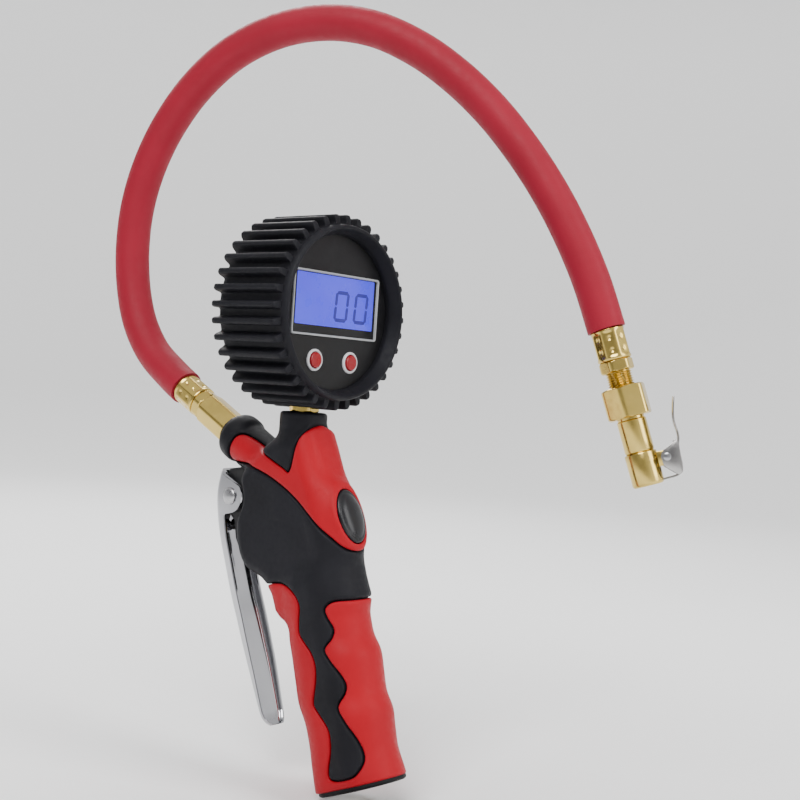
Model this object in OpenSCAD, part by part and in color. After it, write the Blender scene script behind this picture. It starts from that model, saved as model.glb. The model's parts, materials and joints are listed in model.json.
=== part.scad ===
// Pistol-grip tyre inflator with a digital gauge, a whip hose and a clip-on air chuck.
// Millimetres. The origin is the centre of the air inlet in the bottom of the grip.
// +X points back to the user and is the way the gauge faces, +Z is up along the gauge stem.

/* [Grip] */
// Rake of the grip away from the gauge stem, degrees
rake = 22; // [20:1:24]
// Depth of the grip, front to back
grip_depth = 36; // [34:0.5:37]
// Width of the grip, side to side
grip_width = 28; // [27:0.5:29]
// Thickness of the red soft pads
pad_t = 1.5; // [1.2:0.1:1.8]
// Thickness of the black ring at the bottom of the grip
base_t = 1.8; // [1.5:0.1:2.5]
// Inner radius of the 1/4 inch pipe thread in the air inlet
inlet_r = 5.6; // [5.5:0.05:5.8]
// Length of the air inlet's thread
inlet_len = 14; // [12:0.5:15]

/* [Head] */
// Half the width of the head
head_hw = 11.5; // [11:0.5:12]
// Radius of the neck under the gauge
neck_r = 9.4; // [9.2:0.1:9.8]
// Radius of the collar around the hose port
collar_r = 10.2; // [10:0.1:10.4]
// Height of the valve's axis
valve_z = 91; // [90.5:0.5:91.5]

/* [Lever] */
// Outer width of the lever's channel
lever_w = 14.5; // [14:0.5:15]
// Sheet thickness of the lever
lever_t = 1.5; // [1.2:0.1:1.6]
// Radius of the lever's pivot pin
pin_r = 2.5; // [2.3:0.1:2.6]

/* [Gauge] */
// Inner radius of the rubber boot's front opening, around the face
face_r = 30.2; // [29.5:0.1:30.5]
// Radius of the gauge case
case_r = 32; // [31.5:0.1:32.2]
// Radius of the boot between its ribs
boot_r = 34.2; // [34:0.1:35]
// Radius over the boot's ribs
rib_r = 38; // [37:0.5:38.5]
// Number of ribs around the boot
rib_n = 36; // [30:2:36]
// Thickness of one rib
rib_t = 2.6; // [2.2:0.1:2.8]

/* [Hose and chuck] */
// Outer diameter of the rubber hose
hose_d = 15; // [14:0.5:15]
// Radius of the chuck's mouth, which takes a tyre valve's stem
mouth_r = 4.1; // [4.05:0.05:4.2]
// Width across the flats of the chuck's hexagon
chuck_af = 15.9; // [14:0.1:17]

/* [Hidden] */

gap = 0.05;                 // radial play of a shaft in its hole
thread_gap = 0.03;          // play drawn between screwed pieces
stem_x = -42;               // the gauge stem's axis
gauge_z = 179;              // height of the gauge's axis
neck_top = 139.5;           // top face of the neck
pads_top = 74;              // the grip's straight part ends here, along its own axis
grip_shift = 1;             // the grip's middle lies this far behind the inlet's axis
port_end = [-82.5, 0, 130]; // centre of the hose port's end face
port_tilt = 27.5;           // the hose port points this far above the horizontal
pivot = [-73.5, 0, 103];    // the lever's pivot
chuck_tilt = 19;            // the chuck leans this far from straight down
chuck_turn = 20;            // and towards this side
clip_turn = -10;            // the clip sits this far round the chuck
body_black = [0.07, 0.07, 0.08];
soft_red = [0.75, 0.1, 0.12];
brass = [0.78, 0.62, 0.3];
chrome = [0.8, 0.8, 0.82];
dark = [0.05, 0.05, 0.05];

// ---- frames of reference -------------------------------------------------------------

// Local +Z runs up the grip's axis from the inlet, local +X is the back of the grip.
module grip_frame() rotate([0, -rake, 0]) children();

// Local +Z leaves the hose port.
module port_frame() translate(port_end) rotate([0, port_tilt - 90, 0]) children();

// Local +Z is the gauge's axis, out of its face; local +X is down, local +Y is the same.
module gauge_frame() translate([stem_x, 0, gauge_z]) rotate([0, 90, 0]) children();

// Local +Z runs from the hose's end to the chuck's mouth; the clip is on local -X.
module chuck_frame()
    translate(hose_tip) rotate([0, 180 - chuck_tilt, chuck_turn]) rotate([0, 0, clip_turn])
        children();

// A cylinder lying along the row's X axis, from x0 to x1.
module x_rod(r, x0, x1, z = valve_z)
    translate([x0, 0, z]) rotate([0, 90, 0]) cylinder(r = r, h = x1 - x0, $fn = 48);

// A ring or tube standing on local z0.
module tube(r_out, r_in, z0, z1, fn = 64)
    translate([0, 0, z0]) difference() {
        cylinder(r = r_out, h = z1 - z0, $fn = fn);
        translate([0, 0, -1]) cylinder(r = r_in, h = z1 - z0 + 2, $fn = fn);
    }

// A hexagonal prism by its width across the flats.
module hex(af, z0, z1, turn = 0)
    translate([0, 0, z0]) rotate([0, 0, turn]) cylinder(d = af / cos(30), h = z1 - z0, $fn = 6);

// ---- outer form of the soft-covered body ---------------------------------------------

// Straight slot outline of the grip's section.
module grip_section(inset) {
    r = grip_width / 2 - inset;
    half = (grip_depth - grip_width) / 2;
    translate([grip_shift, 0]) {
        translate([-half, 0]) circle(r = r, $fn = 64);
        translate([half, 0]) circle(r = r, $fn = 64);
        square([2 * half, 2 * r], center = true);
    }
}

// Side view of the head between the neck, the port and the grip.
head_side = [[-51, 128], [-33, 134], [-30, 130], [-24.6, 119], [-20.5, 112.5], [-11.5, 90],
    [-9.5, 78.5], [-6.5, 69], [-20, 55], [-40, 58], [-45.5, 67], [-52, 73.5], [-61.5, 73.5],
    [-65, 76.5], [-66.5, 84], [-66.5, 111], [-60, 118]];
head_mid = [-38, 98];
function unit(v) = v / norm(v);

// A plate standing on edge along the object's middle plane, by its side view.
module upright(thickness) translate([0, thickness / 2, 0]) rotate([90, 0, 0])
    linear_extrude(thickness) children();

// Section of the head across the grip's axis, rounded at the back and at the front.
module head_section(inset) {
    back_r = 10;
    front_r = 5;
    translate([22 - back_r, 0]) for (side = [-1, 1])
        translate([0, side * (head_hw - back_r)]) circle(r = back_r - inset, $fn = 64);
    translate([-34 + front_r, 0]) for (side = [-1, 1])
        translate([0, side * (head_hw - front_r)]) circle(r = front_r - inset, $fn = 64);
    translate([-34 + front_r, inset - head_hw]) square([56 - back_r - front_r, 2 * (head_hw - inset)]);
    translate([-34 + inset, front_r - head_hw]) square([56 - 2 * inset, 2 * (head_hw - front_r)]);
}

module skin(inset) {
    grip_frame() for (step = [0 : 2]) translate([0, 0, base_t])
        linear_extrude(pads_top - base_t + 2.5 * step) grip_section(inset + 1.2 * step);
    intersection() {
        upright(40) polygon([for (p = head_side) p + inset * unit(head_mid - p)]);
        grip_frame() translate([0, 0, 50]) linear_extrude(120) head_section(inset);
    }
    translate([stem_x, 0, 112]) cylinder(r = neck_r - inset, h = neck_top - 112, $fn = 64);
    port_frame() {
        translate([0, 0, -40]) cylinder(r = 9 - inset, h = 32, $fn = 64);
        translate([0, 0, -10]) cylinder(r = collar_r - inset, h = 7, $fn = 64);
        translate([0, 0, -3]) cylinder(r1 = collar_r - inset, r2 = 7.6, h = 3, $fn = 64);
    }
}

// Red band over the head, seen from the side.
module band_outline() polygon([[-67, 130.5], [-72.5, 122.5], [-70.5, 117.8], [-54.6, 115.5],
    [-40, 110], [-26.5, 101.5], [-14.5, 91.5], [-4, 85], [-4, 100], [-22, 140], [-28.5, 138.3],
    [-32, 134], [-34, 124], [-35.5, 115.8], [-38, 115.2], [-44, 119.5]]);

// Black stripe between the red pads on each side of the grip, in the grip's own frame.
module stripe_outline() polygon([[-9, 90], [-5, 80], [1, 75], [1, 70], [-2, 62], [1.5, 55],
    [2.7, 48], [1, 41], [-2.3, 34], [1.5, 27], [2.5, 21], [0, 13], [-2, 6], [10.5, 5.5],
    [13.3, 11], [13, 18], [10.5, 25], [9.3, 30.5], [13, 36], [13, 41], [10, 48], [8.8, 52],
    [12.5, 56], [13, 60], [11, 67], [16, 69], [24, 66], [24, 92]]);

module band_zone() upright(40) band_outline();

// The two red pads of the grip, joined under the stripes. Enlarged by grow it is their bed.
module pad_shell(grow) grip_frame() difference() {
    translate([0, 0, base_t - grow]) linear_extrude(pads_top - base_t + 2 * grow) difference() {
        grip_section(-grow);
        grip_section(pad_t);
    }
    upright(40) stripe_outline();
}

// ---- body ----------------------------------------------------------------------------

// Metal casting that carries the air ways, without its bores.
module casting_form() {
    grip_frame() translate([0, 0, base_t]) cylinder(r = 11, h = 86, $fn = 64);
    x_rod(8, -64, -20);
    translate([stem_x, 0, valve_z]) cylinder(r = 7.6, h = neck_top - 2 - valve_z, $fn = 64);
    port_frame() translate([0, 0, -44]) cylinder(r = 7.4, h = 42.5, $fn = 64);
}

// Flat tongue between the lever's cheeks.
module tongue() upright(11) polygon([[-60, 116], [-77.5, 114], [-79, 106], [-79, 99], [-72.5, 93], [-71, 86],
        [-63, 75.5], [-58, 75.5]]);

module valve_body() color(body_black) difference() {
    union() {
        casting_form();
        tongue();
    }
    grip_frame() {
        translate([0, 0, base_t - 1]) cylinder(r = 9, h = 17, $fn = 64);
        translate([3, 0, 10]) cylinder(r = 3, h = 74, $fn = 32);
    }
    x_rod(4.2, -80, -59);
    x_rod(5, -59.5, -26);
    x_rod(6, -26.5, -18);
    translate([stem_x, 0, valve_z]) cylinder(r = 2.5, h = 60, $fn = 32);
    translate([stem_x, 0, neck_top - 12]) cylinder(r = 4.9, h = 14, $fn = 48);
    port_frame() {
        translate([0, 0, -45.7]) cylinder(r = 2.8, h = 50, $fn = 32);
        translate([0, 0, -13]) cylinder(r = 5.2, h = 14, $fn = 48);
    }
    translate([pivot.x, 10, pivot.z]) rotate([90, 0, 0]) cylinder(r = pin_r + 0.02, h = 20, $fn = 48);
}

module overmould() color(body_black) difference() {
    skin(0);
    difference() {
        band_zone();
        skin(pad_t);
    }
    pad_shell(0.5);
    casting_form();
    tongue();
    port_frame() translate([0, 0, -2]) cylinder(r = 7.4, h = 4, $fn = 48);
    translate([stem_x, 0, neck_top - 3]) cylinder(r = 7.6, h = 4, $fn = 48);
    x_rod(7.5, -21, -16.5);
    grip_frame() translate([0, 0, -1]) cylinder(r = 11, h = 5, $fn = 64);
    badge_blank();
}

module head_band() color(soft_red) difference() {
    intersection() {
        skin(0);
        band_zone();
    }
    skin(pad_t);
    badge_blank();
}

module grip_pads() color(soft_red) pad_shell(0);

module base_ring() color(dark) grip_frame() difference() {
    linear_extrude(base_t) grip_section(0);
    translate([0, 0, -1]) cylinder(r = 9, h = 4, $fn = 64);
}

// Oval cap on the back of the head, over the valve's plug.
badge_at = [-15.2, 0, 101];
badge_lean = 65;            // its face looks back and a little up
module badge_blank() translate(badge_at) rotate([0, badge_lean, 0]) linear_extrude(6.2, center = true)
    hull() for (s = [-1, 1]) translate([s * 3.2, 0]) circle(r = 7.7, $fn = 32);

module rear_badge() color(dark) translate(badge_at) rotate([0, badge_lean, 0]) hull() {
    linear_extrude(5, center = true)
        hull() for (s = [-1, 1]) translate([s * 3.2, 0]) circle(r = 7.6, $fn = 32);
    linear_extrude(3.1) hull() for (s = [-1, 1]) translate([s * 3.2, 0]) circle(r = 6, $fn = 32);
}

// ---- air inlet and valve --------------------------------------------------------------

module inlet_bushing() color(brass) grip_frame() tube(9 - thread_gap, inlet_r, 0, inlet_len);

module inlet_strainer() color(chrome) grip_frame() tube(5.5, 2.6, inlet_len + 0.1, base_t + 15.9);

module valve_seat() color(brass) difference() {
    x_rod(5 - thread_gap, -38.5, -35.5);
    x_rod(3, -39, -35);
}

module valve_plug() color(brass) difference() {
    union() {
        x_rod(6 - thread_gap, -25, -19.5);
        translate([-19.5, 0, valve_z]) rotate([0, 90, 0]) rotate([0, 0, 30])
            cylinder(d = 12 / cos(30), h = 2.5, $fn = 6);
    }
    x_rod(2.2, -26, -22);
}

module plunger_gland() color(brass) difference() {
    x_rod(4.2 - thread_gap, -71, -59.5);
    x_rod(2 + gap, -72, -58);
    x_rod(3.2, -66.5, -64.5);
}

module plunger_seal() color(dark) difference() {
    x_rod(3.15, -66.3, -64.7);
    x_rod(2 + gap, -67, -64);
}

module valve_plunger() color(chrome) {
    x_rod(2.4, -77.2, -74.6);
    x_rod(2, -74.6, -44);
    x_rod(1.4, -44, -34);
}

module poppet() color(brass) difference() {
    union() {
        x_rod(4.2, -34, -32.2);
        x_rod(2.1, -32.2, -30.5);
    }
    x_rod(1.4, -35, -34 + 0.0001);
}

module poppet_seal() color(dark) difference() {
    x_rod(4, -35.4, -34);
    x_rod(1.4, -36, -33.9);
}

// Return spring between the poppet and the plug, as a swept wire.
spring_turns = 5;
spring_r = 3.4;
wire_r = 0.4;
spring_x0 = -31.7;
spring_x1 = -25.5;
spring_steps = spring_turns * 12;
spring_rings = [for (i = [0 : spring_steps]) let (a = 30 * i)
    [for (k = [0 : 5]) let (b = 60 * k, r = spring_r + wire_r * cos(b))
        [spring_x0 + (spring_x1 - spring_x0) * i / spring_steps + wire_r * sin(b),
            r * cos(a), valve_z + r * sin(a)]]];

module valve_spring() color(chrome) sweep(spring_rings);

// Skins a list of rings, each with the same number of points.
module sweep(rings) {
    n = len(rings[0]);
    last = len(rings) - 1;
    polyhedron(points = [for (ring = rings) each ring],
        faces = concat(
            [[for (k = [0 : n - 1]) k]],
            [for (i = [0 : last - 1], k = [0 : n - 1])
                [i * n + k, (i + 1) * n + k, (i + 1) * n + (k + 1) % n, i * n + (k + 1) % n]],
            [[for (k = [n - 1 : -1 : 0]) last * n + k]]),
        convexity = 10);
}

// ---- lever -----------------------------------------------------------------------------

// Side view of the lever's spine: the outer face of its back.
spine = [[-79.8, 116], [-82, 109], [-82.3, 101], [-79.9, 91], [-76.8, 80], [-70.6, 62], [-62.5, 44],
    [-54.5, 26], [-50.4, 16.5]];

module lever_side(edge) polygon(concat(spine, edge));

module lever_slab(w, edge) upright(w) lever_side(edge);

module lever() color(chrome) difference() {
    union() {
        // back of the channel, with its closed lower end
        lever_slab(lever_w, [[-48.2, 12.5], [-45.2, 14.2], [-46.4, 17.2], [-48.9, 17.5],
            [-53, 27], [-61, 44.8], [-69.1, 62.7], [-75.3, 80.6], [-78.3, 91.4], [-80.7, 101],
            [-80.4, 108.6], [-78.4, 115.4]]);
        // two cheeks
        for (side = [-1, 1]) translate([0, side * (lever_w - lever_t) / 2, 0])
            lever_slab(lever_t, [[-48.2, 12.5], [-45.2, 14.2], [-49.9, 28.2], [-57.4, 46],
                [-64.6, 64.5], [-71.2, 84], [-71.6, 92], [-72, 94], [-73.5, 103], [-72, 110],
                [-77.5, 114]]);
        for (side = [-1, 1]) translate([pivot.x, side * (lever_w - lever_t) / 2, pivot.z])
            rotate([90, 0, 0]) cylinder(r = 6.9, h = lever_t, center = true, $fn = 48);
    }
    translate([pivot.x, 10, pivot.z]) rotate([90, 0, 0]) cylinder(r = pin_r + gap, h = 20, $fn = 48);
}

module lever_pin() color(chrome) translate([pivot.x, 0, pivot.z]) rotate([90, 0, 0]) {
    cylinder(r = pin_r, h = lever_w + 1, center = true, $fn = 48);
    for (side = [-1, 1]) translate([0, 0, side * (lever_w / 2 + 0.75)])
        cylinder(r = 4.4, h = 0.9, center = true, $fn = 48);
}

// ---- gauge -----------------------------------------------------------------------------

boot_back = -16.5;
boot_front = 20;
case_back = -15;
face_z = 13.2;              // front of the face plate
stem_bottom = gauge_z - neck_top + 11;

module gauge_stem() color(brass) difference() {
    translate([stem_x, 0, 0]) {
        translate([0, 0, gauge_z - stem_bottom]) cylinder(r = 4.9 - thread_gap, h = 11, $fn = 48);
        hex(11, neck_top, gauge_z - case_r - 0.05);
        translate([0, 0, gauge_z - case_r - 1]) cylinder(r = 4, h = 6, $fn = 48);
    }
    translate([stem_x, 0, 100]) cylinder(r = 1.5, h = 60, $fn = 24);
}

module stem_seal() color(dark) translate([stem_x, 0, gauge_z]) tube(4.9, 4 + 0.02, -29.5, -28.2);

// One rib of the boot, bevelled at its front end.
module rib() translate([0, rib_t / 2, 0]) rotate([90, 0, 0]) linear_extrude(rib_t)
    polygon([[boot_r - 1, boot_back], [rib_r - 0.6, boot_back], [rib_r, boot_back + 0.6],
        [rib_r, boot_front - 3.5], [rib_r - 0.6, boot_front - 2.8], [boot_r - 1, boot_front - 2.8]]);

module gauge_boot() color(body_black) gauge_frame() difference() {
    union() {
        translate([0, 0, boot_back]) cylinder(r = boot_r, h = boot_front - boot_back - 2.4, $fn = 96);
        translate([0, 0, boot_front - 2.4]) cylinder(r1 = boot_r, r2 = boot_r - 1.2, h = 2.4, $fn = 96);
        for (i = [0 : rib_n - 1]) rotate([0, 0, i * 360 / rib_n]) rib();
    }
    translate([0, 0, case_back]) cylinder(r = case_r, h = face_z - case_back, $fn = 96);
    translate([0, 0, 10]) cylinder(r = face_r, h = 20, $fn = 96);
    translate([0, 0, face_z + 2]) cylinder(r1 = face_r, r2 = face_r + 2.4, h = 5, $fn = 96);
    translate([0, 0, -20]) cylinder(r = 29.5, h = 20, $fn = 96);
    rotate([0, 90, 0]) cylinder(r = 8, h = 50, $fn = 48);
}

module gauge_case() color(dark) gauge_frame() difference() {
    union() {
        tube(case_r, case_r - 2, -13, face_z - 2.2, 96);
        for (i = [0 : 3]) rotate([0, 0, 45 + 90 * i]) translate([26.8, 0, -13])
            cylinder(r = 2.6, h = 10, $fn = 32);
        for (i = [0 : 3]) rotate([0, 0, 45 + 90 * i]) translate([28, -1, -13]) cube([3, 2, 10]);
    }
    for (i = [0 : 3]) rotate([0, 0, 45 + 90 * i]) translate([26.8, 0, -14])
        cylinder(r = 1.2, h = 9, $fn = 24);
    rotate([0, 90, 0]) cylinder(r = 4.05, h = 40, $fn = 48);
}

module gauge_back_cover() color(dark) gauge_frame() difference() {
    translate([0, 0, case_back]) cylinder(r = case_r - 0.1, h = 2, $fn = 96);
    for (i = [0 : 3]) rotate([0, 0, 45 + 90 * i]) translate([26.8, 0, -17]) {
        cylinder(r = 1.4, h = 6, $fn = 24);
        cylinder(r = 2.4, h = 3.1, $fn = 24);
    }
}

module cover_screws() color(chrome) gauge_frame()
    for (i = [0 : 3]) rotate([0, 0, 45 + 90 * i]) translate([26.8, 0, 0]) difference() {
        union() {
            translate([0, 0, case_back]) cylinder(r = 2.3, h = 1.1, $fn = 24);
            translate([0, 0, case_back]) cylinder(r = 1.17, h = 8.5, $fn = 24);
        }
        for (turn = [0, 90]) rotate([0, 0, turn]) translate([-1.4, -0.25, case_back - 1]) cube([2.8, 0.5, 1.6]);
    }

lcd_drop = -2.75;           // the display's middle lies above the gauge's axis
button_drop = 19;
button_y = 10.2;
button_r = 3.1;

module face_plate() color(dark) gauge_frame() difference() {
    translate([0, 0, face_z - 2]) cylinder(r = case_r - 0.1, h = 2, $fn = 96);
    translate([lcd_drop, 0, face_z]) cube([23, 47, 10], center = true);
    for (side = [-1, 1]) translate([button_drop, side * button_y, 5])
        cylinder(r = button_r + gap, h = 20, $fn = 48);
}

module lcd_frame() color([0.4, 0.4, 0.42]) gauge_frame() translate([lcd_drop, 0, 0]) difference() {
    union() {
        translate([0, 0, face_z + 0.45]) cube([25, 49, 0.8], center = true);
        translate([0, 0, face_z - 0.9]) cube([22.9, 46.9, 2], center = true);
    }
    translate([0, 0, face_z]) cube([21.4, 45.4, 10], center = true);
}

module lcd_lens() color([0.6, 0.7, 0.9, 0.4]) gauge_frame()
    translate([lcd_drop, 0, face_z - 0.4]) cube([21.3, 45.3, 1.2], center = true);

module lcd_module() color([0.2, 0.3, 0.9]) gauge_frame()
    translate([lcd_drop, 0, face_z - 4]) cube([21.2, 45.2, 5.8], center = true);

// Board with a notch over the sensor and the stem.
module circuit_board() color([0.1, 0.35, 0.15]) gauge_frame() difference() {
    translate([0, 0, 4]) cylinder(r = 29.5, h = 1.6, $fn = 96);
    translate([12, -8, 0]) cube([30, 16, 10]);
    for (i = [0 : 3]) rotate([0, 0, 45 + 90 * i]) translate([26.8, 0, 0])
        cylinder(r = 2.8, h = 10, $fn = 24);
}

module button_switches() color([0.6, 0.6, 0.6]) gauge_frame()
    for (side = [-1, 1]) translate([button_drop, side * (button_y + 0.3), 5.6])
        translate([-2.2, -2.2, 0]) cube([4.4, 4.4, 2.6]);

module battery_cells() color([0.55, 0.55, 0.58]) gauge_frame()
    for (a = [-8.5, 3]) translate([a, 0, -6.5]) rotate([90, 0, 0]) {
        cylinder(r = 5.25, h = 42.5, center = true, $fn = 48);
        translate([0, 0, 21.25]) cylinder(r = 1.9, h = 0.9, $fn = 32);
    }

module battery_contacts() color(chrome) gauge_frame()
    for (side = [-1, 1], a = [-8.5, 3]) translate([a, side * 22.45, -6.5])
        cube([8, 0.5, 8], center = true);

module pressure_sensor() color(chrome) translate([stem_x, 0, gauge_z]) {
    tube(7, 4 + 0.02, -28.2, -27);
    translate([0, 0, -27]) cylinder(r = 7, h = 7, $fn = 48);
    translate([0, 0, -20]) cylinder(r = 4, h = 2, $fn = 48);
}

module button_rings() color([0.75, 0.75, 0.78]) gauge_frame()
    for (side = [-1, 1]) translate([button_drop, side * button_y, 0])
        tube(4.2, button_r + 0.2, face_z, face_z + 0.8, 48);

module button(side) color([0.8, 0.05, 0.08]) gauge_frame()
    translate([button_drop, side * button_y, 9.4]) {
        cylinder(r = button_r, h = face_z - 9.4 + 1, $fn = 48);
        translate([0, 0, face_z - 9.4 + 1]) cylinder(r1 = button_r, r2 = button_r - 0.5, h = 0.5, $fn = 48);
    }

module left_button() button(-1);
module right_button() button(1);

// ---- hose ------------------------------------------------------------------------------

ferrule_len = 12.5;
adaptor_len = 16.4;         // from the collar to the small hexagon
fitting_len = 4.6;          // small hexagon
ferrule_r = 6.6;

// Adaptor between the port and the hose fitting, with its male thread in the port.
module port_adaptor() color(brass) port_frame() difference() {
    union() {
        hex(12.7, 0, adaptor_len, 12);
        translate([0, 0, -12]) cylinder(r = 5.2 - thread_gap, h = 12, $fn = 48);
    }
    translate([0, 0, -13]) cylinder(r = 2.6, h = 13, $fn = 32);
    translate([0, 0, -0.01]) cylinder(r = 4.3, h = 30, $fn = 32);
}

// Crimped hose fitting from a hexagon: thread on -Z, barb on +Z, at local z = 0.
module hose_fitting(thread_r, thread_len) difference() {
    union() {
        hex(12, 0, fitting_len, 20);
        translate([0, 0, -thread_len]) cylinder(r = thread_r, h = thread_len, $fn = 48);
        for (i = [0 : 3]) translate([0, 0, fitting_len + 2.6 * i])
            cylinder(r1 = 3.15, r2 = 2.8, h = 2.6, $fn = 48);
    }
    translate([0, 0, -thread_len - 1]) cylinder(r = 1.9, h = 50, $fn = 32);
}

// Ferrule squeezed on the hose: an octagon with dimples.
module ferrule() difference() {
    cylinder(d = 2 * ferrule_r, h = ferrule_len, $fn = 8);
    translate([0, 0, 1]) cylinder(r = 5.4, h = ferrule_len, $fn = 48);
    translate([0, 0, -1]) cylinder(r = 3.3, h = 3, $fn = 48);
}

module port_fitting() color(brass) port_frame() translate([0, 0, adaptor_len]) hose_fitting(4.27, 9);
module port_ferrule() color(brass) port_frame() translate([0, 0, adaptor_len + fitting_len]) ferrule();

hose_start = port_end + (adaptor_len + fitting_len + ferrule_len)
    * [-cos(port_tilt), 0, sin(port_tilt)];

// Route of the hose's centre line after its ferrule, up over the gauge and down again.
hose_route = [hose_start, [-121, 0, 150.5], [-135, 0, 160], [-145.5, 0, 173], [-151.5, 0, 188.5],
    [-154, 0, 206], [-153, 0.5, 225], [-148, 2, 244], [-138.5, 4, 262], [-125, 7, 278.5],
    [-108, 11.5, 292], [-88, 17.5, 300.5], [-66.5, 24, 303], [-45.5, 30.5, 299.5],
    [-26.5, 37, 290.7], [-10, 42.5, 279], [5, 47.5, 265], [18, 52, 249.5], [29.5, 56, 233],
    [39.3, 59.3, 216], [47.7, 62.3, 198], [54.5, 64.8, 179.2]];
hose_tip = hose_route[len(hose_route) - 1];
hose_sides = 12;

function heading(i) = i == 0 ? [-cos(port_tilt), 0, sin(port_tilt)]
    : i == len(hose_route) - 1 ? chuck_dir
    : unit(hose_route[i + 1] - hose_route[i - 1]);
chuck_dir = [sin(chuck_tilt) * cos(chuck_turn), sin(chuck_tilt) * sin(chuck_turn), -cos(chuck_tilt)];
hose_rings = [for (i = [0 : len(hose_route) - 1])
    let (side = unit(cross(heading(i), [0.33, -0.94, 0])), other = cross(heading(i), side))
    [for (k = [0 : hose_sides - 1]) let (a = 360 * k / hose_sides)
        hose_route[i] + hose_d / 2 * (cos(a) * side + sin(a) * other)]];

module hose() color(soft_red) sweep(hose_rings);

// ---- chuck -----------------------------------------------------------------------------

thread_show = 6;            // bare thread between the hexagons
hex_end = ferrule_len + fitting_len + thread_show + 12.2;
barrel_end = hex_end + 14;
mouth_end = barrel_end + 13;
seal_face = barrel_end + 3;  // where the tyre valve's end comes to rest

module tip_ferrule() color(brass) chuck_frame() translate([0, 0, ferrule_len]) mirror([0, 0, 1]) ferrule();

module tip_fitting() color(brass) chuck_frame() translate([0, 0, ferrule_len + fitting_len])
    mirror([0, 0, 1]) hose_fitting(5.15, thread_show + 9);

module chuck_body() color(brass) chuck_frame() difference() {
    union() {
        hex(chuck_af, ferrule_len + fitting_len + thread_show, hex_end, 10);
        translate([0, 0, hex_end]) cylinder(r = 5.7, h = barrel_end - hex_end, $fn = 64);
        translate([0, 0, barrel_end]) cylinder(r = 4.97, h = 1.5, $fn = 64);
    }
    translate([0, 0, 20]) cylinder(r = 5.15 + thread_gap, h = 13, $fn = 48);
    translate([0, 0, 20]) cylinder(r = 2.2, h = 40, $fn = 32);
    translate([0, 0, barrel_end]) cylinder(r = 3.65, h = 5, $fn = 48);
}

// Nose of the chuck, screwed on its barrel, with an ear for the clip and a slot for its claw.
module chuck_nose() color(brass) chuck_frame() difference() {
    union() {
        translate([0, 0, barrel_end]) cylinder(r = 6.2, h = mouth_end - barrel_end, $fn = 64);
        translate([-11, -2.2, barrel_end + 1]) cube([8, 4.4, 6]);
    }
    translate([0, 0, barrel_end - 1]) cylinder(r = 5, h = seal_face - barrel_end + 1, $fn = 64);
    translate([0, 0, barrel_end]) cylinder(r = mouth_r, h = 30, $fn = 48);
    translate([-12, -2.5, mouth_end - 3]) cube([10, 5, 4]);
    translate([clip_pin_at.x * -1, 5, clip_pin_at.y]) rotate([90, 0, 0]) cylinder(r = 1.02, h = 10, $fn = 32);
}

module chuck_depressor() color(brass) chuck_frame() difference() {
    union() {
        translate([0, 0, barrel_end + 0.05]) cylinder(r = 3.6, h = 1.4, $fn = 48);
        translate([0, 0, barrel_end]) cylinder(r = 0.8, h = seal_face - barrel_end - 0.3, $fn = 24);
    }
    for (i = [0 : 2]) rotate([0, 0, 120 * i]) translate([2.2, 0, 0]) cylinder(r = 0.8, h = 80, $fn = 24);
}

module chuck_washer() color(dark) chuck_frame() tube(4.95, 1.6, barrel_end + 1.52, seal_face - 0.02, 48);

// Clip in its own side view: first number is the distance from the chuck's axis, second
// the distance along it. The thumb arm rises from the pin, the claw enters the mouth's slot.
clip_pin_at = [9.3, barrel_end + 4];
module clip_profile() polygon([[17.4, 31.5], [15.2, 40.3], [15.6, 46], [14.2, 49.5],
    [13.4, 58.5], [12.6, 58.4], [13.4, 49.2], [14.8, 46], [14.4, 40.2], [16.6, 31.3]]);

module claw_profile() polygon([[13.4, 58], [11.8, mouth_end - 1.5], [4.7, mouth_end - 1.5],
    [4.7, mouth_end - 2.3], [11, mouth_end - 2.3], [12.6, 58]]);

module clip_lever() color(chrome) chuck_frame() mirror([1, 0, 0]) difference() {
    union() {
        upright(6.4) clip_profile();
        upright(4.2) claw_profile();
        for (side = [-1, 1]) translate([0, side * 4.7, 0]) upright(0.8) polygon([[15, 47.5], [13.6, 60.5], [12, 61.5], [7, 56.2], [7, 51.5], [8.8, 50.5]]);
        for (z = [48.3, 58.3]) translate([13.1, -5.1, z]) cube([1, 10.2, 1.2]);
    }
    translate([clip_pin_at.x, 8, clip_pin_at.y]) rotate([90, 0, 0]) cylinder(r = 1.06, h = 16, $fn = 32);
}

module clip_pin() color(chrome) chuck_frame() mirror([1, 0, 0])
    translate([clip_pin_at.x, 0, clip_pin_at.y]) rotate([90, 0, 0]) cylinder(r = 1, h = 11.6, center = true, $fn = 32);

module clip_spring() color(chrome) chuck_frame() mirror([1, 0, 0])
    translate([clip_pin_at.x, 0, clip_pin_at.y]) rotate([90, 0, 0])
        for (side = [-1, 1]) translate([0, 0, side * 3.2 - 0.8]) tube(1.9, 1.15, 0, 1.6, 32);

valve_body();
overmould();
head_band();
grip_pads();
base_ring();
rear_badge();
inlet_bushing();
inlet_strainer();
valve_seat();
valve_plug();
valve_spring();
plunger_gland();
plunger_seal();
valve_plunger();
poppet();
poppet_seal();
lever();
lever_pin();
gauge_stem();
stem_seal();
gauge_boot();
gauge_case();
gauge_back_cover();
cover_screws();
face_plate();
lcd_frame();
lcd_lens();
lcd_module();
circuit_board();
button_switches();
battery_cells();
battery_contacts();
pressure_sensor();
button_rings();
left_button();
right_button();
port_adaptor();
port_fitting();
port_ferrule();
hose();
tip_ferrule();
tip_fitting();
chuck_body();
chuck_nose();
chuck_washer();
chuck_depressor();
clip_lever();
clip_pin();
clip_spring();
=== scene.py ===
"""Looks of the tyre inflator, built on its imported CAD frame.

Lengths are millimetres in the row frame. Every mesh is made by the functions here and scaled
to metres when it becomes an object.
"""

import json
import math

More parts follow.
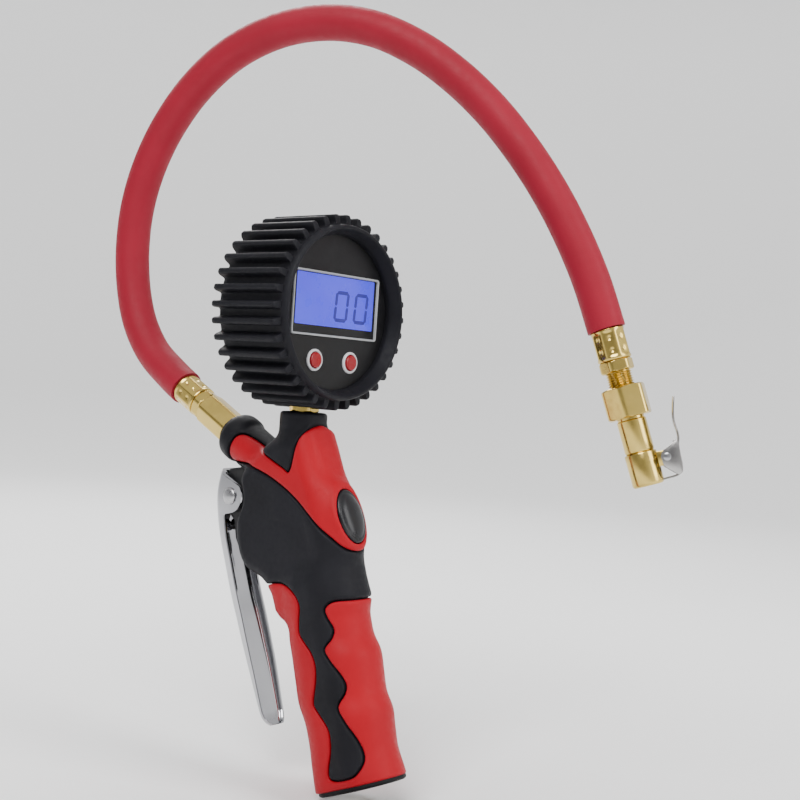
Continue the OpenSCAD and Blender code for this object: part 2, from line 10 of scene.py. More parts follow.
import bmesh
import bpy
import numpy as np
from mathutils import Matrix, Vector

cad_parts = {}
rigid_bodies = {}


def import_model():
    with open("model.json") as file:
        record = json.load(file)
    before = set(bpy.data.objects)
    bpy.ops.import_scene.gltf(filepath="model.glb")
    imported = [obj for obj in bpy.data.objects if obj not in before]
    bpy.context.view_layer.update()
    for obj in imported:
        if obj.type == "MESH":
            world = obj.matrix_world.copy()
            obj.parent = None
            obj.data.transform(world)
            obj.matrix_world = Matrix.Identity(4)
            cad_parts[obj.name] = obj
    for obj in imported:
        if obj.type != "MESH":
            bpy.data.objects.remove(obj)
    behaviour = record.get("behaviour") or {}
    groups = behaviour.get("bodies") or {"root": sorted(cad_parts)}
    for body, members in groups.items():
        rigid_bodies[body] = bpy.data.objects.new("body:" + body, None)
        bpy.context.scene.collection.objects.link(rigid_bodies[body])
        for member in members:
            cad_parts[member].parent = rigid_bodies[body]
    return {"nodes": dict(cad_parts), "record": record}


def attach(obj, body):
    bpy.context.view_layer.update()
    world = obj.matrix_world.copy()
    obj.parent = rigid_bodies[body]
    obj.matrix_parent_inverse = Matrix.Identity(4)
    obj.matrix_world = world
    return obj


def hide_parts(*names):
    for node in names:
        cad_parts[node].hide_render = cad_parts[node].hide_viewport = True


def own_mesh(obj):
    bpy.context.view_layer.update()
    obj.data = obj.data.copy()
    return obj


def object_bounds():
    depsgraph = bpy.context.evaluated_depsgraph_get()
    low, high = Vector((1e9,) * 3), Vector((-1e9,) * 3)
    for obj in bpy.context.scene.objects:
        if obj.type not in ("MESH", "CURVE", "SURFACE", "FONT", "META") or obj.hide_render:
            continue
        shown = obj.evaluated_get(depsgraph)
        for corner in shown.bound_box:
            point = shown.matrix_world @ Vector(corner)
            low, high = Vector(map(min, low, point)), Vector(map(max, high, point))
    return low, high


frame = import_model()
cad_low, cad_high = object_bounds()
MM = 0.001


def put(name, data):
    """A new object in the scene that shows data."""
    obj = bpy.data.objects.new(name, data)
    bpy.context.scene.collection.objects.link(obj)
    return obj


# ---- places shared with the CAD ----

RAKE = math.radians(22)
STEM_X = -42.0
GAUGE_Z = 179.0
NECK_TOP = 139.5
PORT_END = Vector((-82.5, 0, 130))
PORT_TILT = math.radians(27.5)
PIVOT = Vector((-73.5, 0, 103))
VALVE_Z = 91.0
HOSE_D = 15.0
ADAPTOR_LEN = 16.4
FITTING_LEN = 4.6
FERRULE_LEN = 12.5
THREAD_SHOW = 6.0
CHUCK_TILT = math.radians(19)
CHUCK_TURN = math.radians(20)
CLIP_TURN = math.radians(-10)

PORT_DIR = Vector((-math.cos(PORT_TILT), 0, math.sin(PORT_TILT)))
HOSE_START = PORT_END + PORT_DIR * (ADAPTOR_LEN + FITTING_LEN + FERRULE_LEN)
HOSE_ROUTE = [HOSE_START] + [Vector(p) for p in (
    (-121, 0, 150.5), (-135, 0, 160), (-145.5, 0, 173), (-151.5, 0, 188.5),
    (-154, 0, 206), (-153, 0.5, 225), (-148, 2, 244), (-138.5, 4, 262), (-125, 7, 278.5),
    (-108, 11.5, 292), (-88, 17.5, 300.5), (-66.5, 24, 303), (-45.5, 30.5, 299.5),
    (-26.5, 37, 290.7), (-10, 42.5, 279), (5, 47.5, 265), (18, 52, 249.5), (29.5, 56, 233),
    (39.3, 59.3, 216), (47.7, 62.3, 198), (54.5, 64.8, 179.2))]
HOSE_TIP = HOSE_ROUTE[-1]


def turn(angle, axis):
    return Matrix.Rotation(angle, 4, axis)


def lift(z):
    return Matrix.Translation((0, 0, z))


GRIP = turn(-RAKE, "Y")
PORT = Matrix.Translation(PORT_END) @ turn(PORT_TILT - math.pi / 2, "Y")
GAUGE = Matrix.Translation((STEM_X, 0, GAUGE_Z)) @ turn(math.pi / 2, "Y")
CHUCK = (Matrix.Translation(HOSE_TIP) @ turn(CHUCK_TURN, "Z") @ turn(math.pi - CHUCK_TILT, "Y")
         @ turn(CLIP_TURN, "Z"))

# ---- camera ----


CAMERA_AIM = Vector((-42, 59.6, 146.3))
CAMERA_AWAY = 561
CAMERA_ANGLES = 50.85, 0.47, 3.74
SENSOR_WIDTH = 36
FOCAL_LENGTH = 58.5


def add_camera():
    """The photograph's camera, by its azimuth from +X, elevation and roll in degrees."""
    azimuth, elevation, roll = (math.radians(angle) for angle in CAMERA_ANGLES)
    back = Vector((math.cos(elevation) * math.cos(azimuth),
                   -math.cos(elevation) * math.sin(azimuth), math.sin(elevation)))
    level_right = (-back).cross(Vector((0, 0, 1))).normalized()
    level_up = level_right.cross(-back)
    right = math.cos(roll) * level_right + math.sin(roll) * level_up
    up = -math.sin(roll) * level_right + math.cos(roll) * level_up
    place = Matrix.Identity(4)
    place.col[0][:3], place.col[1][:3], place.col[2][:3] = right, up, back
    place.col[3][:3] = (CAMERA_AIM + CAMERA_AWAY * back) * MM
    lens = bpy.data.cameras.new("camera")
    lens.sensor_width = SENSOR_WIDTH
    lens.lens = FOCAL_LENGTH
    lens.clip_start = 0.01
    camera = put("camera", lens)
    camera.matrix_world = place
    bpy.context.scene.camera = camera


add_camera()

# ---- materials ----


FINISH = {}


def map_range(tree, source, given, wanted):
    """A node that maps the given range of source to the wanted one. Returns its output."""
    node = tree.nodes.new("ShaderNodeMapRange")
    node.inputs["From Min"].default_value, node.inputs["From Max"].default_value = given
    node.inputs["To Min"].default_value, node.inputs["To Max"].default_value = wanted
    tree.links.new(source, node.inputs["Value"])
    return node.outputs["Result"]


def mix_colours(tree, factor, first, second):
    mix = tree.nodes.new("ShaderNodeMix")
    mix.data_type = "RGBA"
    mix.inputs["A"].default_value = (*first, 1)
    mix.inputs["B"].default_value = (*second, 1)
    tree.links.new(factor, mix.inputs["Factor"])
    return mix.outputs["Result"]


def finish(name, colour, rough, metal=0.0, second=None, blotch=40.0, grain=0.0, grain_scale=900.0,
           rough_vary=0.08, glow=None, shine=0.5):
    """A procedural surface, kept in FINISH by its name. Colour drifts to second in soft
    blotches, roughness varies in finer ones, and a fine grain is raised by grain
    (millimetres). Scales are per metre. glow is a colour and a strength."""
    material = bpy.data.materials.new(name)
    material.use_nodes = True
    tree = material.node_tree
    shader = tree.nodes["Principled BSDF"]
    shader.inputs["Metallic"].default_value = metal
    shader.inputs["Specular IOR Level"].default_value = shine
    place = tree.nodes.new("ShaderNodeTexCoord")

    def noise(scale, detail):
        node = tree.nodes.new("ShaderNodeTexNoise")
        node.inputs["Scale"].default_value = scale
        node.inputs["Detail"].default_value = detail
        tree.links.new(place.outputs["Object"], node.inputs["Vector"])
        return node.outputs["Fac"]

    def spread(source, low, high):
        return map_range(tree, source, (0.3, 0.7), (low, high))

    mixed = mix_colours(tree, spread(noise(blotch, 3), 0, 1), colour,
                        second or [c * 0.8 for c in colour])
    tree.links.new(mixed, shader.inputs["Base Color"])
    tree.links.new(spread(noise(grain_scale * 0.2, 5), max(rough - rough_vary, 0.02),
                          rough + rough_vary), shader.inputs["Roughness"])
    if grain:
        bump = tree.nodes.new("ShaderNodeBump")
        bump.inputs["Strength"].default_value = 1.0
        bump.inputs["Distance"].default_value = grain * MM
        tree.links.new(noise(grain_scale, 4), bump.inputs["Height"])
        tree.links.new(bump.outputs["Normal"], shader.inputs["Normal"])
    if glow:
        shader.inputs["Emission Color"].default_value = (*glow[:3], 1)
        shader.inputs["Emission Strength"].default_value = glow[3]
    FINISH[name] = material


finish("casting", (0.008, 0.008, 0.009), 0.45, grain=0.05, grain_scale=1400, shine=0.3)
finish("body_rubber", (0.006, 0.006, 0.008), 0.55, second=(0.009, 0.009, 0.012), grain=0.03,
       grain_scale=2600, shine=0.14)
finish("red_rubber", (0.35, 0.003, 0.011), 0.5, second=(0.31, 0.003, 0.010), grain=0.03,
       grain_scale=2600, shine=0.14)
finish("black_rubber", (0.006, 0.006, 0.007), 0.6, grain=0.03, shine=0.15)
finish("badge", (0.006, 0.006, 0.008), 0.3, rough_vary=0.05, shine=0.35)
finish("brass", (0.62, 0.46, 0.13), 0.2, metal=1.0, second=(0.53, 0.38, 0.10), grain=0.008,
       grain_scale=1800, rough_vary=0.06)
finish("steel", (0.42, 0.42, 0.43), 0.24, metal=1.0, grain=0.01, grain_scale=2000)
finish("chrome", (0.47, 0.47, 0.49), 0.07, metal=1.0, second=(0.42, 0.42, 0.44), rough_vary=0.03)
finish("nickel", (0.42, 0.41, 0.40), 0.2, metal=1.0, grain=0.01, grain_scale=1500)
finish("black_plastic", (0.010, 0.010, 0.011), 0.45, grain=0.04, grain_scale=1600, shine=0.3)
finish("face", (0.004, 0.004, 0.005), 0.4, grain=0.02, grain_scale=2500, shine=0.25)
finish("grey_plastic", (0.34, 0.35, 0.36), 0.35, grain=0.01)
finish("silver_plastic", (0.60, 0.60, 0.62), 0.25)
finish("lens", (0.75, 0.8, 0.95), 0.05, rough_vary=0.02)
finish("display", (0.02, 0.03, 0.30), 0.3, second=(0.05, 0.03, 0.28), blotch=25,
       glow=(0.05, 0.06, 1.0, 0.85), shine=0.3)
finish("lcd_ink", (0.02, 0.02, 0.12), 0.4, glow=(0.03, 0.025, 0.45, 0.5), shine=0.2)
finish("board", (0.02, 0.13, 0.05), 0.4, grain=0.02)
finish("cell", (0.25, 0.26, 0.28), 0.3)
finish("red_plastic", (0.26, 0.003, 0.008), 0.25, rough_vary=0.05, shine=0.4)
finish("hose_rubber", (0.26, 0.007, 0.022), 0.55, second=(0.225, 0.006, 0.018), grain=0.05,
       grain_scale=1500, shine=0.2)

# ---- curves and outlines ----


def smooth_line(points, per=6, closed=False):
    """Catmull-Rom curve through the points."""
    p = np.asarray(points, float)
    if closed:
        p = np.vstack([p[-1:], p, p[:2]])
    else:
        p = np.vstack([2 * p[:1] - p[1:2], p, 2 * p[-1:] - p[-2:-1]])
    a, b, c, d = p[:-3], p[1:-2], p[2:-1], p[3:]
    steps = []
    for t in np.arange(per) / per:
        steps.append(0.5 * (2 * b + (c - a) * t + (2 * a - 5 * b + 4 * c - d) * t**2
                            + (3 * b - a - 3 * c + d) * t**3))
    line = np.stack(steps, 1).reshape(-1, p.shape[1])
    return line if closed else np.vstack([line, p[-2:-1]])


def fillet(points, radius, closed=True, steps=4):
    """The same outline with its corners rounded. radius is one number or one per corner."""
    p = np.asarray(points, float)
    radii = np.broadcast_to(np.asarray(radius, float), len(p))
    out = []
    for i, corner in enumerate(p):
        if radii[i] <= 0 or (not closed and i in (0, len(p) - 1)):
            out.append(corner)
            continue
        before, after = p[i - 1] - corner, p[(i + 1) % len(p)] - corner
        la, lb = np.linalg.norm(before), np.linalg.norm(after)
        before, after = before / la, after / lb
        half = math.acos(np.clip(before @ after, -1, 1)) / 2
        if half > math.radians(88):
            out.append(corner)
            continue
        cut = min(radii[i] / math.tan(half), 0.45 * la, 0.45 * lb)
        start, end = corner + before * cut, corner + after * cut
        for k in range(steps + 1):
            t = k / steps
            out.append((1 - t)**2 * start + 2 * t * (1 - t) * corner + t**2 * end)
    return np.array(out)


def circle(radius, n):
    return polar(radius, np.linspace(0, 2 * math.pi, n, endpoint=False))


def rounded_box(width, height, radius, centre=(0, 0), steps=6):
    w, h = width / 2, height / 2
    corners = np.array([(w, h), (-w, h), (-w, -h), (w, -h)]) + centre
    return fillet(corners, radius, steps=steps)


def polar(radius, angles):
    return np.stack([radius * np.cos(angles), radius * np.sin(angles)], 1)


def level(outline, z):
    """The outline's points at height z."""
    return np.column_stack([outline, np.full(len(outline), float(z))])


def unit_tangents(path):
    tangents = np.gradient(path, axis=0)
    return tangents / np.linalg.norm(tangents, axis=1)[:, None]


def outward(outline):
    """Unit normals of a closed counter-clockwise outline, out of it."""
    ahead = np.roll(outline, -1, 0) - outline
    behind = outline - np.roll(outline, 1, 0)
    ahead /= np.linalg.norm(ahead, axis=1)[:, None] + 1e-12
    behind /= np.linalg.norm(behind, axis=1)[:, None] + 1e-12
    tangent = ahead + behind
    tangent /= np.linalg.norm(tangent, axis=1)[:, None] + 1e-12
    return np.stack([tangent[:, 1], -tangent[:, 0]], 1)


# ---- meshes ----


def piece(name, verts, faces, slot, body="housing", replaces=(), place=None, crease=32):
    """Makes an object from millimetre points, sets its finish and ties it to its body."""
    verts = np.asarray(verts, float)
    if place is not None:
        verts, faces = moved((verts, faces), place)
    mesh = bpy.data.meshes.new(name)
    mesh.from_pydata((verts * MM).tolist(), [], [tuple(map(int, face)) for face in faces])
    mesh.validate()
    skin = bmesh.new()
    skin.from_mesh(mesh)
    bmesh.ops.recalc_face_normals(skin, faces=skin.faces)
    skin.to_mesh(mesh)
    skin.free()
    mesh.polygons.foreach_set("use_smooth", [True] * len(mesh.polygons))
    mesh.set_sharp_from_angle(angle=math.radians(crease))
    mesh.materials.append(FINISH[slot])
    obj = put(name, mesh)
    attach(obj, body)
    if replaces:
        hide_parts(*replaces)
    return obj


def join(*parts):
    """Several (verts, faces) as one."""
    verts, faces, base = [], [], 0
    for v, f in parts:
        verts.append(np.asarray(v, float))
        faces += [tuple(int(i) + base for i in face) for face in f]
        base += len(v)
    return np.vstack(verts), faces


def moved(part, place):
    m = np.array(place)
    return np.asarray(part[0]) @ m[:3, :3].T + m[:3, 3], part[1]


def loft(rings, wrap=False):
    """Skins rings of equal length. Without wrap the two ends are closed."""
    rings = [np.asarray(r, float) for r in rings]
    n, count = len(rings[0]), len(rings)
    faces = []
    for i in range(count if wrap else count - 1):
        a, b = i * n, (i + 1) % count * n
        faces += [(a + k, a + (k + 1) % n, b + (k + 1) % n, b + k) for k in range(n)]
    if not wrap:
        faces += [tuple(range(n - 1, -1, -1)), tuple((count - 1) * n + k for k in range(n))]
    return np.vstack(rings), faces


def lathe(profile, n=72, shape=None):
    """Turns a profile of (radius, height) about local Z. A profile that starts and ends on
    the axis makes a solid, and one that doesn't closes on itself into a ring.
    shape(angles, radii, height) gives the radii of what isn't round."""
    angles = np.linspace(0, 2 * math.pi, n, endpoint=False)
    rings = []
    for r, z in profile:
        radius = np.full(n, max(r, 1e-3))
        if shape is not None:
            radius = shape(angles, radius, z)
        rings.append(level(polar(radius, angles), z))
    on_axis = profile[0][0] < 0.01 and profile[-1][0] < 0.01
    return loft(rings, wrap=not on_axis)


def plate(outline, z0, z1, edge=0.3):
    """A flat piece with rounded-over rims, from a counter-clockwise outline."""
    normal = outward(outline)
    rings = []
    for inset, z in ((edge, z0), (edge * 0.3, z0 + edge * 0.3), (0, z0 + edge),
                     (0, z1 - edge), (edge * 0.3, z1 - edge * 0.3), (edge, z1)):
        rings.append(level(outline - normal * inset, z))
    return loft(rings)


def moulding(outline, profile):
    """Runs a closed profile of (outward offset, height) around a closed outline."""
    normal = outward(outline)
    return loft([level(outline + normal * d, z) for d, z in profile], wrap=True)


def upright(part):
    """Turns a part drawn as (X, Z, thickness) to stand in the row's X-Z plane."""
    v = np.asarray(part[0])
    return np.stack([v[:, 0], -v[:, 2], v[:, 1]], 1), part[1]


def tube_along(path, radius, sides=12):
    """A round rod along an open path."""
    p = np.asarray(path, float)
    tangents = unit_tangents(p)
    side = np.cross(tangents[0], (0.3, 0.5, 0.81))
    angles = np.linspace(0, 2 * math.pi, sides, endpoint=False)
    rings = []
    for centre, t in zip(p, tangents):
        side = side - t * (side @ t)
        side /= np.linalg.norm(side)
        other = np.cross(t, side)
        rings.append(centre + radius * (np.outer(np.cos(angles), side)
                                        + np.outer(np.sin(angles), other)))
    return loft(rings)


def hexagon(af, soft=0.35):
    """A shape for lathe: a hexagon across the flats, with its corners rounded off."""
    def shape(angles, radius, z):
        off = np.abs((angles + math.pi / 6) % (math.pi / 3) - math.pi / 6)
        flat = af / 2 / np.cos(off)
        return np.minimum(radius, np.minimum(flat, af / math.sqrt(3) - soft))
    return shape


def thread(r_major, depth, pitch, z0, z1, n=48, r_core=2.0):
    """An outside screw thread along local Z, solid down to r_core."""
    steps = int(math.ceil((z1 - z0) / pitch * 8))
    angles = np.linspace(0, 2 * math.pi, n, endpoint=False)
    rings = []
    for z in np.linspace(z0, z1, steps + 1):
        phase = (z / pitch - angles / (2 * math.pi)) % 1.0
        fall = np.clip(np.abs(phase - 0.5) * 2 * 1.25 - 0.12, 0, 1)
        edge = min(1.0, (z - z0) / (0.6 * pitch), (z1 - z) / (0.6 * pitch))
        r = r_major - depth * (1 - (1 - fall) * max(edge, 0))
        rings.append(level(polar(r, angles), z))
    rings += [level(circle(r_core, n), z) for z in (z1, z0)]
    return loft(rings, wrap=True)


def hex_nut(af, z0, z1, hole, chamfer=0.75):
    """A hexagon nut with flat ends, chamfered at 30 degrees, and a round hole."""
    tip, face = af / math.sqrt(3), af / 2 * 0.97
    drop = (tip - face) * chamfer
    outer = [(face, z0)]
    outer += [(face + (tip - face) * t, z0 + drop * t) for t in (0.25, 0.5, 0.75, 1)]
    outer += [(face + (tip - face) * t, z1 - drop * t) for t in (1, 0.75, 0.5, 0.25)]
    outer += [(face, z1)]
    return lathe([(hole, z0), *outer, (hole, z1)], 96, hexagon(af))


# ---- solids from distance fields ----


def soft_min(a, b, k):
    h = np.clip(0.5 + 0.5 * (b - a) / k, 0, 1)
    return b + (a - b) * h - k * h * (1 - h)


def soft_max(a, b, k):
    return -soft_min(-a, -b, k)


def outline_distance(x, z, outline):
    """Signed distance from points to a closed outline, negative inside."""
    best = np.full(x.shape, np.inf)
    inside = np.zeros(x.shape, bool)
    for a, b in zip(outline, np.roll(outline, -1, 0)):
        ex, ez = b - a
        px, pz = x - a[0], z - a[1]
        t = np.clip((px * ex + pz * ez) / (ex * ex + ez * ez + 1e-12), 0, 1)
        best = np.minimum(best, (px - t * ex)**2 + (pz - t * ez)**2)
        crosses = (a[1] > z) != (b[1] > z)
        if abs(ez) > 1e-12:
            inside ^= crosses & (px < ex * pz / ez)
    return np.where(inside, -1, 1) * np.sqrt(best)


# A grid cell's corners, and its edges as pairs of them.
CORNERS = [(i & 1, i >> 1 & 1, i >> 2) for i in range(8)]
CELL_EDGES = [(a, a + side) for side in (1, 2, 4) for a in range(8) if not a & side]


def sample(field, at):
    """Value and slope of a gridded field at points given in grid steps."""
    cell = np.clip(np.floor(at).astype(int), 0, np.array(field.shape) - 2)
    f = at - cell
    value = np.zeros(len(at))
    slope = np.zeros((len(at), 3))
    for offset in np.array(CORNERS):
        corner = field[tuple((cell + offset).T)]
        weight = np.where(offset, f, 1 - f)
        value += corner * weight.prod(1)
        for k in range(3):
            slope[:, k] += corner * (2 * offset[k] - 1) * np.delete(weight, k, 1).prod(1)
    return value, slope


def skin_of(field, origin, step):
    """Surface net of a field that is negative inside: one point per crossed cell."""
    nx, ny, nz = field.shape
    inside = field < 0
    count = np.zeros((nx - 1, ny - 1, nz - 1), np.int8)
    for dx, dy, dz in CORNERS:
        count += inside[dx:nx - 1 + dx, dy:ny - 1 + dy, dz:nz - 1 + dz]
    cells = np.argwhere((count > 0) & (count < 8))
    corner = np.array(CORNERS)
    values = np.stack([field[tuple((cells + offset).T)] for offset in corner], 1)
    total, hits = np.zeros((len(cells), 3)), np.zeros(len(cells))
    for a, b in CELL_EDGES:
        va, vb = values[:, a], values[:, b]
        cross = (va < 0) != (vb < 0)
        t = np.where(cross, va / np.where(cross, va - vb, 1), 0)[:, None]
        total += cross[:, None] * (corner[a] + t * (corner[b] - corner[a]))
        hits += cross
    at = cells + total / hits[:, None]
    for _ in range(3):
        value, slope = sample(field, at)
        shift = slope * (value / ((slope**2).sum(1) + 1e-9))[:, None]
        at = np.clip(at - np.clip(shift, -0.4, 0.4), cells + 0.02, cells + 0.98)
    index = np.full(count.shape, -1, np.int64)
    index[tuple(cells.T)] = np.arange(len(cells))
    faces = []
    for axis in range(3):
        first = [slice(1, -1)] * 3
        second = [slice(1, -1)] * 3
        first[axis], second[axis] = slice(0, -1), slice(1, None)
        a, b = inside[tuple(first)], inside[tuple(second)]
        u, v = [k for k in range(3) if k != axis]
        for crossing, flip in ((a & ~b, axis == 1), (~a & b, axis != 1)):
            at_edge = np.argwhere(crossing)
            at_edge[:, u] += 1
            at_edge[:, v] += 1
            corners = []
            for du, dv in ((0, 0), (-1, 0), (-1, -1), (0, -1)):
                cell = at_edge.copy()
                cell[:, u] += du
                cell[:, v] += dv
                corners.append(index[tuple(cell.T)])
            quad = np.stack(corners, 1)
            faces.append(quad[:, ::-1] if flip else quad)
    faces = np.vstack(faces)
    faces = faces[(faces >= 0).all(1)]
    return at * step + np.array(origin), faces


# ---- the soft-covered body ----

STEP = 0.5
# The half of the body that is sampled, from the middle plane to the far side.
BODY_LOW, BODY_HIGH = np.array((-90.0, 0.0, -8.0)), np.array((20.0, 15.5, 142.5))

# The grip's front and back in its own frame: (height along the grip, distance from the axis).
GRIP_FRONT = [(0, -18.4), (10, -17.4), (20, -16.1), (28, -15.9), (36, -17.0), (45, -16.2),
              (54, -15.3), (60, -14.8), (66, -13.5), (72, -12.5), (80, -12.2), (95, -12.2)]
GRIP_BACK = [(0, 19.4), (5, 18.8), (12, 18.1), (19, 18.9), (26, 19.9), (33, 18.8), (40, 19.6),
             (48, 20.5), (55, 18.9), (62, 19.2), (70, 20.2), (95, 21)]
GRIP_HALF = 14.0
# Side view of the head, in the row's X and Z.
HEAD_SIDE = [(-50, 128), (-34, 133), (-30.3, 130), (-24.8, 118.6), (-20.6, 112.0),
             (-15.4, 100), (-11.6, 90), (-9.8, 79), (-6.5, 69), (-20, 56), (-40, 58), (-45.5, 67),
             (-51, 72.4), (-58, 74.6), (-62.6, 78.6), (-65.4, 85), (-66.5, 92), (-66.5, 110),
             (-60, 119)]
# Edge of the red band over the head, in X and Z, and of the black stripe on the grip, in the
# grip's own frame (distance from the axis, height).
BAND = [(-65.5, 127.8), (-69.3, 128.4), (-71.8, 126.4), (-75.2, 119.5), (-73.8, 117.6),
        (-63.1, 117.4), (-54.6, 115.6), (-47, 113.2), (-40, 110.2), (-33, 106.2), (-26.4, 101.5),
        (-20, 96.6), (-15, 93), (-9.5, 88.4), (0, 84), (0, 110), (-20, 148), (-28, 143),
        (-31.8, 137.4), (-33.4, 132.8), (-34.6, 128), (-35.6, 122.7), (-36.7, 117.6),
        (-38.3, 115.8), (-41, 117.2), (-50, 120.9), (-58, 124.7)]
STRIPE = [(-26, 98), (-26, 83.4), (-17, 83.2), (-12, 82.6), (-7.6, 81.4), (-3.4, 79), (0.1, 75.2),
          (1.3, 70.5), (-0.6, 65.5), (-1.9, 61), (-0.6, 57.5), (2.0, 52.5), (2.8, 47.5),
          (1.2, 41.6), (-2.2, 34.4), (-1.2, 31),
          (1.6, 25.6), (2.5, 21.5), (1.0, 15.2), (-1.6, 10), (-2.2, 6.4), (0.6, 4.9), (5, 4.6),
          (9.5, 5.1), (12.8, 8.2), (13.8, 12.2), (13.0, 18.4), (10.8, 25), (9.3, 30.6),
          (12.4, 34.6), (13.6, 38), (12.6, 42.8), (10.3, 48), (9.0, 52.3), (12.2, 55.6),
          (13.4, 59), (12.4, 63.8), (12.8, 67), (16, 68.6), (22, 67.4), (30, 66), (30, 98)]
# Top of the grip and its pads, height of its foot, how deep the red panels are let in, and
# the groove round them.
GRIP_TOP = 84.0
GRIP_FOOT = 1.8
PAD_DEPTH = 1.5
GROOVE = 0.5
NECK_R = 9.4
PORT_R, COLLAR_R = 9.0, 9.8
LOBE_POCKET_R, LOBE_POCKET_Y = 11.3, 5.7
# How far the air duct lies behind the grip's axis, and the end of a bore that runs out.
DUCT_U = 3
OPEN = 1000


def grid_axes(low, high, step):
    shape = np.ceil((high - low) / step).astype(int) + 1
    return [low[k] + step * np.arange(shape[k]) for k in range(3)]


def both_sides(field):
    """A half field whose first layer lies on the middle plane, with its mirror image."""
    return np.concatenate([field[:, :0:-1], field], 1)


def along_grip(x, z):
    """Distance from the grip's axis, towards its back, and height along it."""
    return x * math.cos(RAKE) + z * math.sin(RAKE), -x * math.sin(RAKE) + z * math.cos(RAKE)


def along_port(x, y, z):
    """Distance past the hose port's end, and distance from the port's axis."""
    dx, dz = x - PORT_END.x, z - PORT_END.z
    return dx * PORT_DIR.x + dz * PORT_DIR.z, np.hypot(dx * PORT_DIR.z - dz * PORT_DIR.x, y)


def body_field(x, y, z):
    """Distance to the outside of the soft-covered body. Arrays broadcast over X, Y, Z."""
    u, w = along_grip(x, z)
    front, back = (np.interp(w, *smooth_line(line).T) for line in (GRIP_FRONT, GRIP_BACK))
    straight = (back - front) / 2 - GRIP_HALF
    grip = np.hypot(np.maximum(np.abs(u - (front + back) / 2) - straight, 0), y) - GRIP_HALF
    grip = soft_max(grip, GRIP_FOOT - w, 0.8)
    grip = soft_max(grip, w - GRIP_TOP, 9)

    side = outline_distance(x[:, 0, :], z[:, 0, :] + 0 * x[:, 0, :],
                            smooth_line(HEAD_SIDE, 3, closed=True))[:, None, :]
    rim = np.interp(x, (-66, -50, -35, -12), (4.5, 5.5, 7.5, 9.5))
    outside_side, outside_face = side + rim, np.abs(y) - (11.5 - rim)
    head = (np.minimum(np.maximum(outside_side, outside_face), 0)
            + np.hypot(np.maximum(outside_side, 0), np.maximum(outside_face, 0)) - rim)

    neck = np.hypot(x - STEM_X, y) - NECK_R
    neck = soft_max(neck, z - NECK_TOP, 1.6)
    neck = soft_max(neck, 100 - z, 1)

    along, off = along_port(x, y, z)
    port = soft_max(soft_max(off - PORT_R, along + 4, 3), -40 - along, 1)
    collar = soft_max(soft_max(off - COLLAR_R, along + 1.9, 6), -10.5 - along, 2)

    oval, out = badge_frame(x, y, z)
    boss = soft_max(soft_max(oval - 0.8, out - 0.1, 1.5), -9 - out, 1)
    body = grip
    for part, blend in ((head, 4), (neck, 3.5), (port, 3), (collar, 2), (boss, 6)):
        body = soft_min(body, part, blend)
    lobe = np.hypot(x - PIVOT.x, z - PIVOT.z) - LOBE_POCKET_R
    return soft_max(body, -soft_max(lobe, LOBE_POCKET_Y - np.abs(y), 0.6), 2.2)


def casting_axes(x, y, z):
    """Distances along and off each axis of the casting: grip, air duct, valve, neck, port."""
    u, w = along_grip(x, z)
    return ((w, np.hypot(u, y)), (w, np.hypot(u - DUCT_U, y)), (x, np.hypot(z - VALVE_Z, y)),
            (z, np.hypot(x - STEM_X, y)), along_port(x, y, z))


def rod(axis, radius, start, end):
    """Distance to a round rod or bore between two stations of an axis."""
    along, off = axis
    return np.maximum(off - radius, np.maximum(start - along, along - end))


def casting_field(x, y, z):
    """Distance to the outside of the metal casting, without its bores."""
    grip, _, valve, neck, port = casting_axes(x, y, z)
    return np.minimum(np.minimum(rod(grip, 11, 1.0, 88), rod(valve, 8, -64, -20)),
                      np.minimum(rod(neck, 7.6, VALVE_Z, 137.5), rod(port, 7.4, -44, -1.5)))


def make_body():
    """The black cover, with the red panels let into it."""
    ax, ay, az = grid_axes(BODY_LOW, BODY_HIGH, STEP)
    x, y, z = ax[:, None, None], ay[None, :, None], az[None, None, :]
    x = x + 0 * z
    z = z + 0 * x
    body = body_field(x, y, z)
    body /= np.clip(np.linalg.norm(np.gradient(body, STEP), axis=0), 0.5, 2)
    inner = casting_field(x, y, z)

    flat_x, flat_z = x[:, 0, :], z[:, 0, :]
    u, w = along_grip(flat_x, flat_z)
    band = outline_distance(flat_x, flat_z, smooth_line(BAND, 4, closed=True))[:, None, :]
    stripe = outline_distance(u, w, smooth_line(STRIPE, 4, closed=True))
    pads = np.maximum(-stripe, w - GRIP_TOP)[:, None, :]
    badge_hole = badge_distance(x, y, z)

    reds = np.minimum(band, pads)
    bed = np.maximum(reds - GROOVE, -(body + PAD_DEPTH + 0.3))
    rubber = soft_max(body, -bed, 0.7)
    rubber = soft_max(rubber, -badge_hole, 0.5)
    rubber = np.maximum(rubber, -inner)
    low = (BODY_LOW[0], -ay[-1], BODY_LOW[2])
    piece("cover", *skin_of(both_sides(rubber), low, STEP), "body_rubber",
          replaces=["overmould"], crease=50)
    for name, region, node in (("head_panel", band, "head_band"),
                               ("grip_panels", pads, "grip_pads")):
        panel = soft_max(body - 0.12, region + 0.05, 1.1)
        panel = np.maximum(panel, -(body + PAD_DEPTH))
        panel = soft_max(panel, -badge_hole, 0.5)
        piece(name, *skin_of(both_sides(panel), low, STEP), "red_rubber", replaces=[node],
              crease=60)


BADGE_AT = Vector((-14.3, 0, 101.0))
BADGE_LEAN = math.radians(65)
BADGE = Matrix.Translation(BADGE_AT) @ turn(BADGE_LEAN, "Y")
# Half axes of the badge's pocket.
BADGE_LONG, BADGE_SHORT = 11.0, 7.1


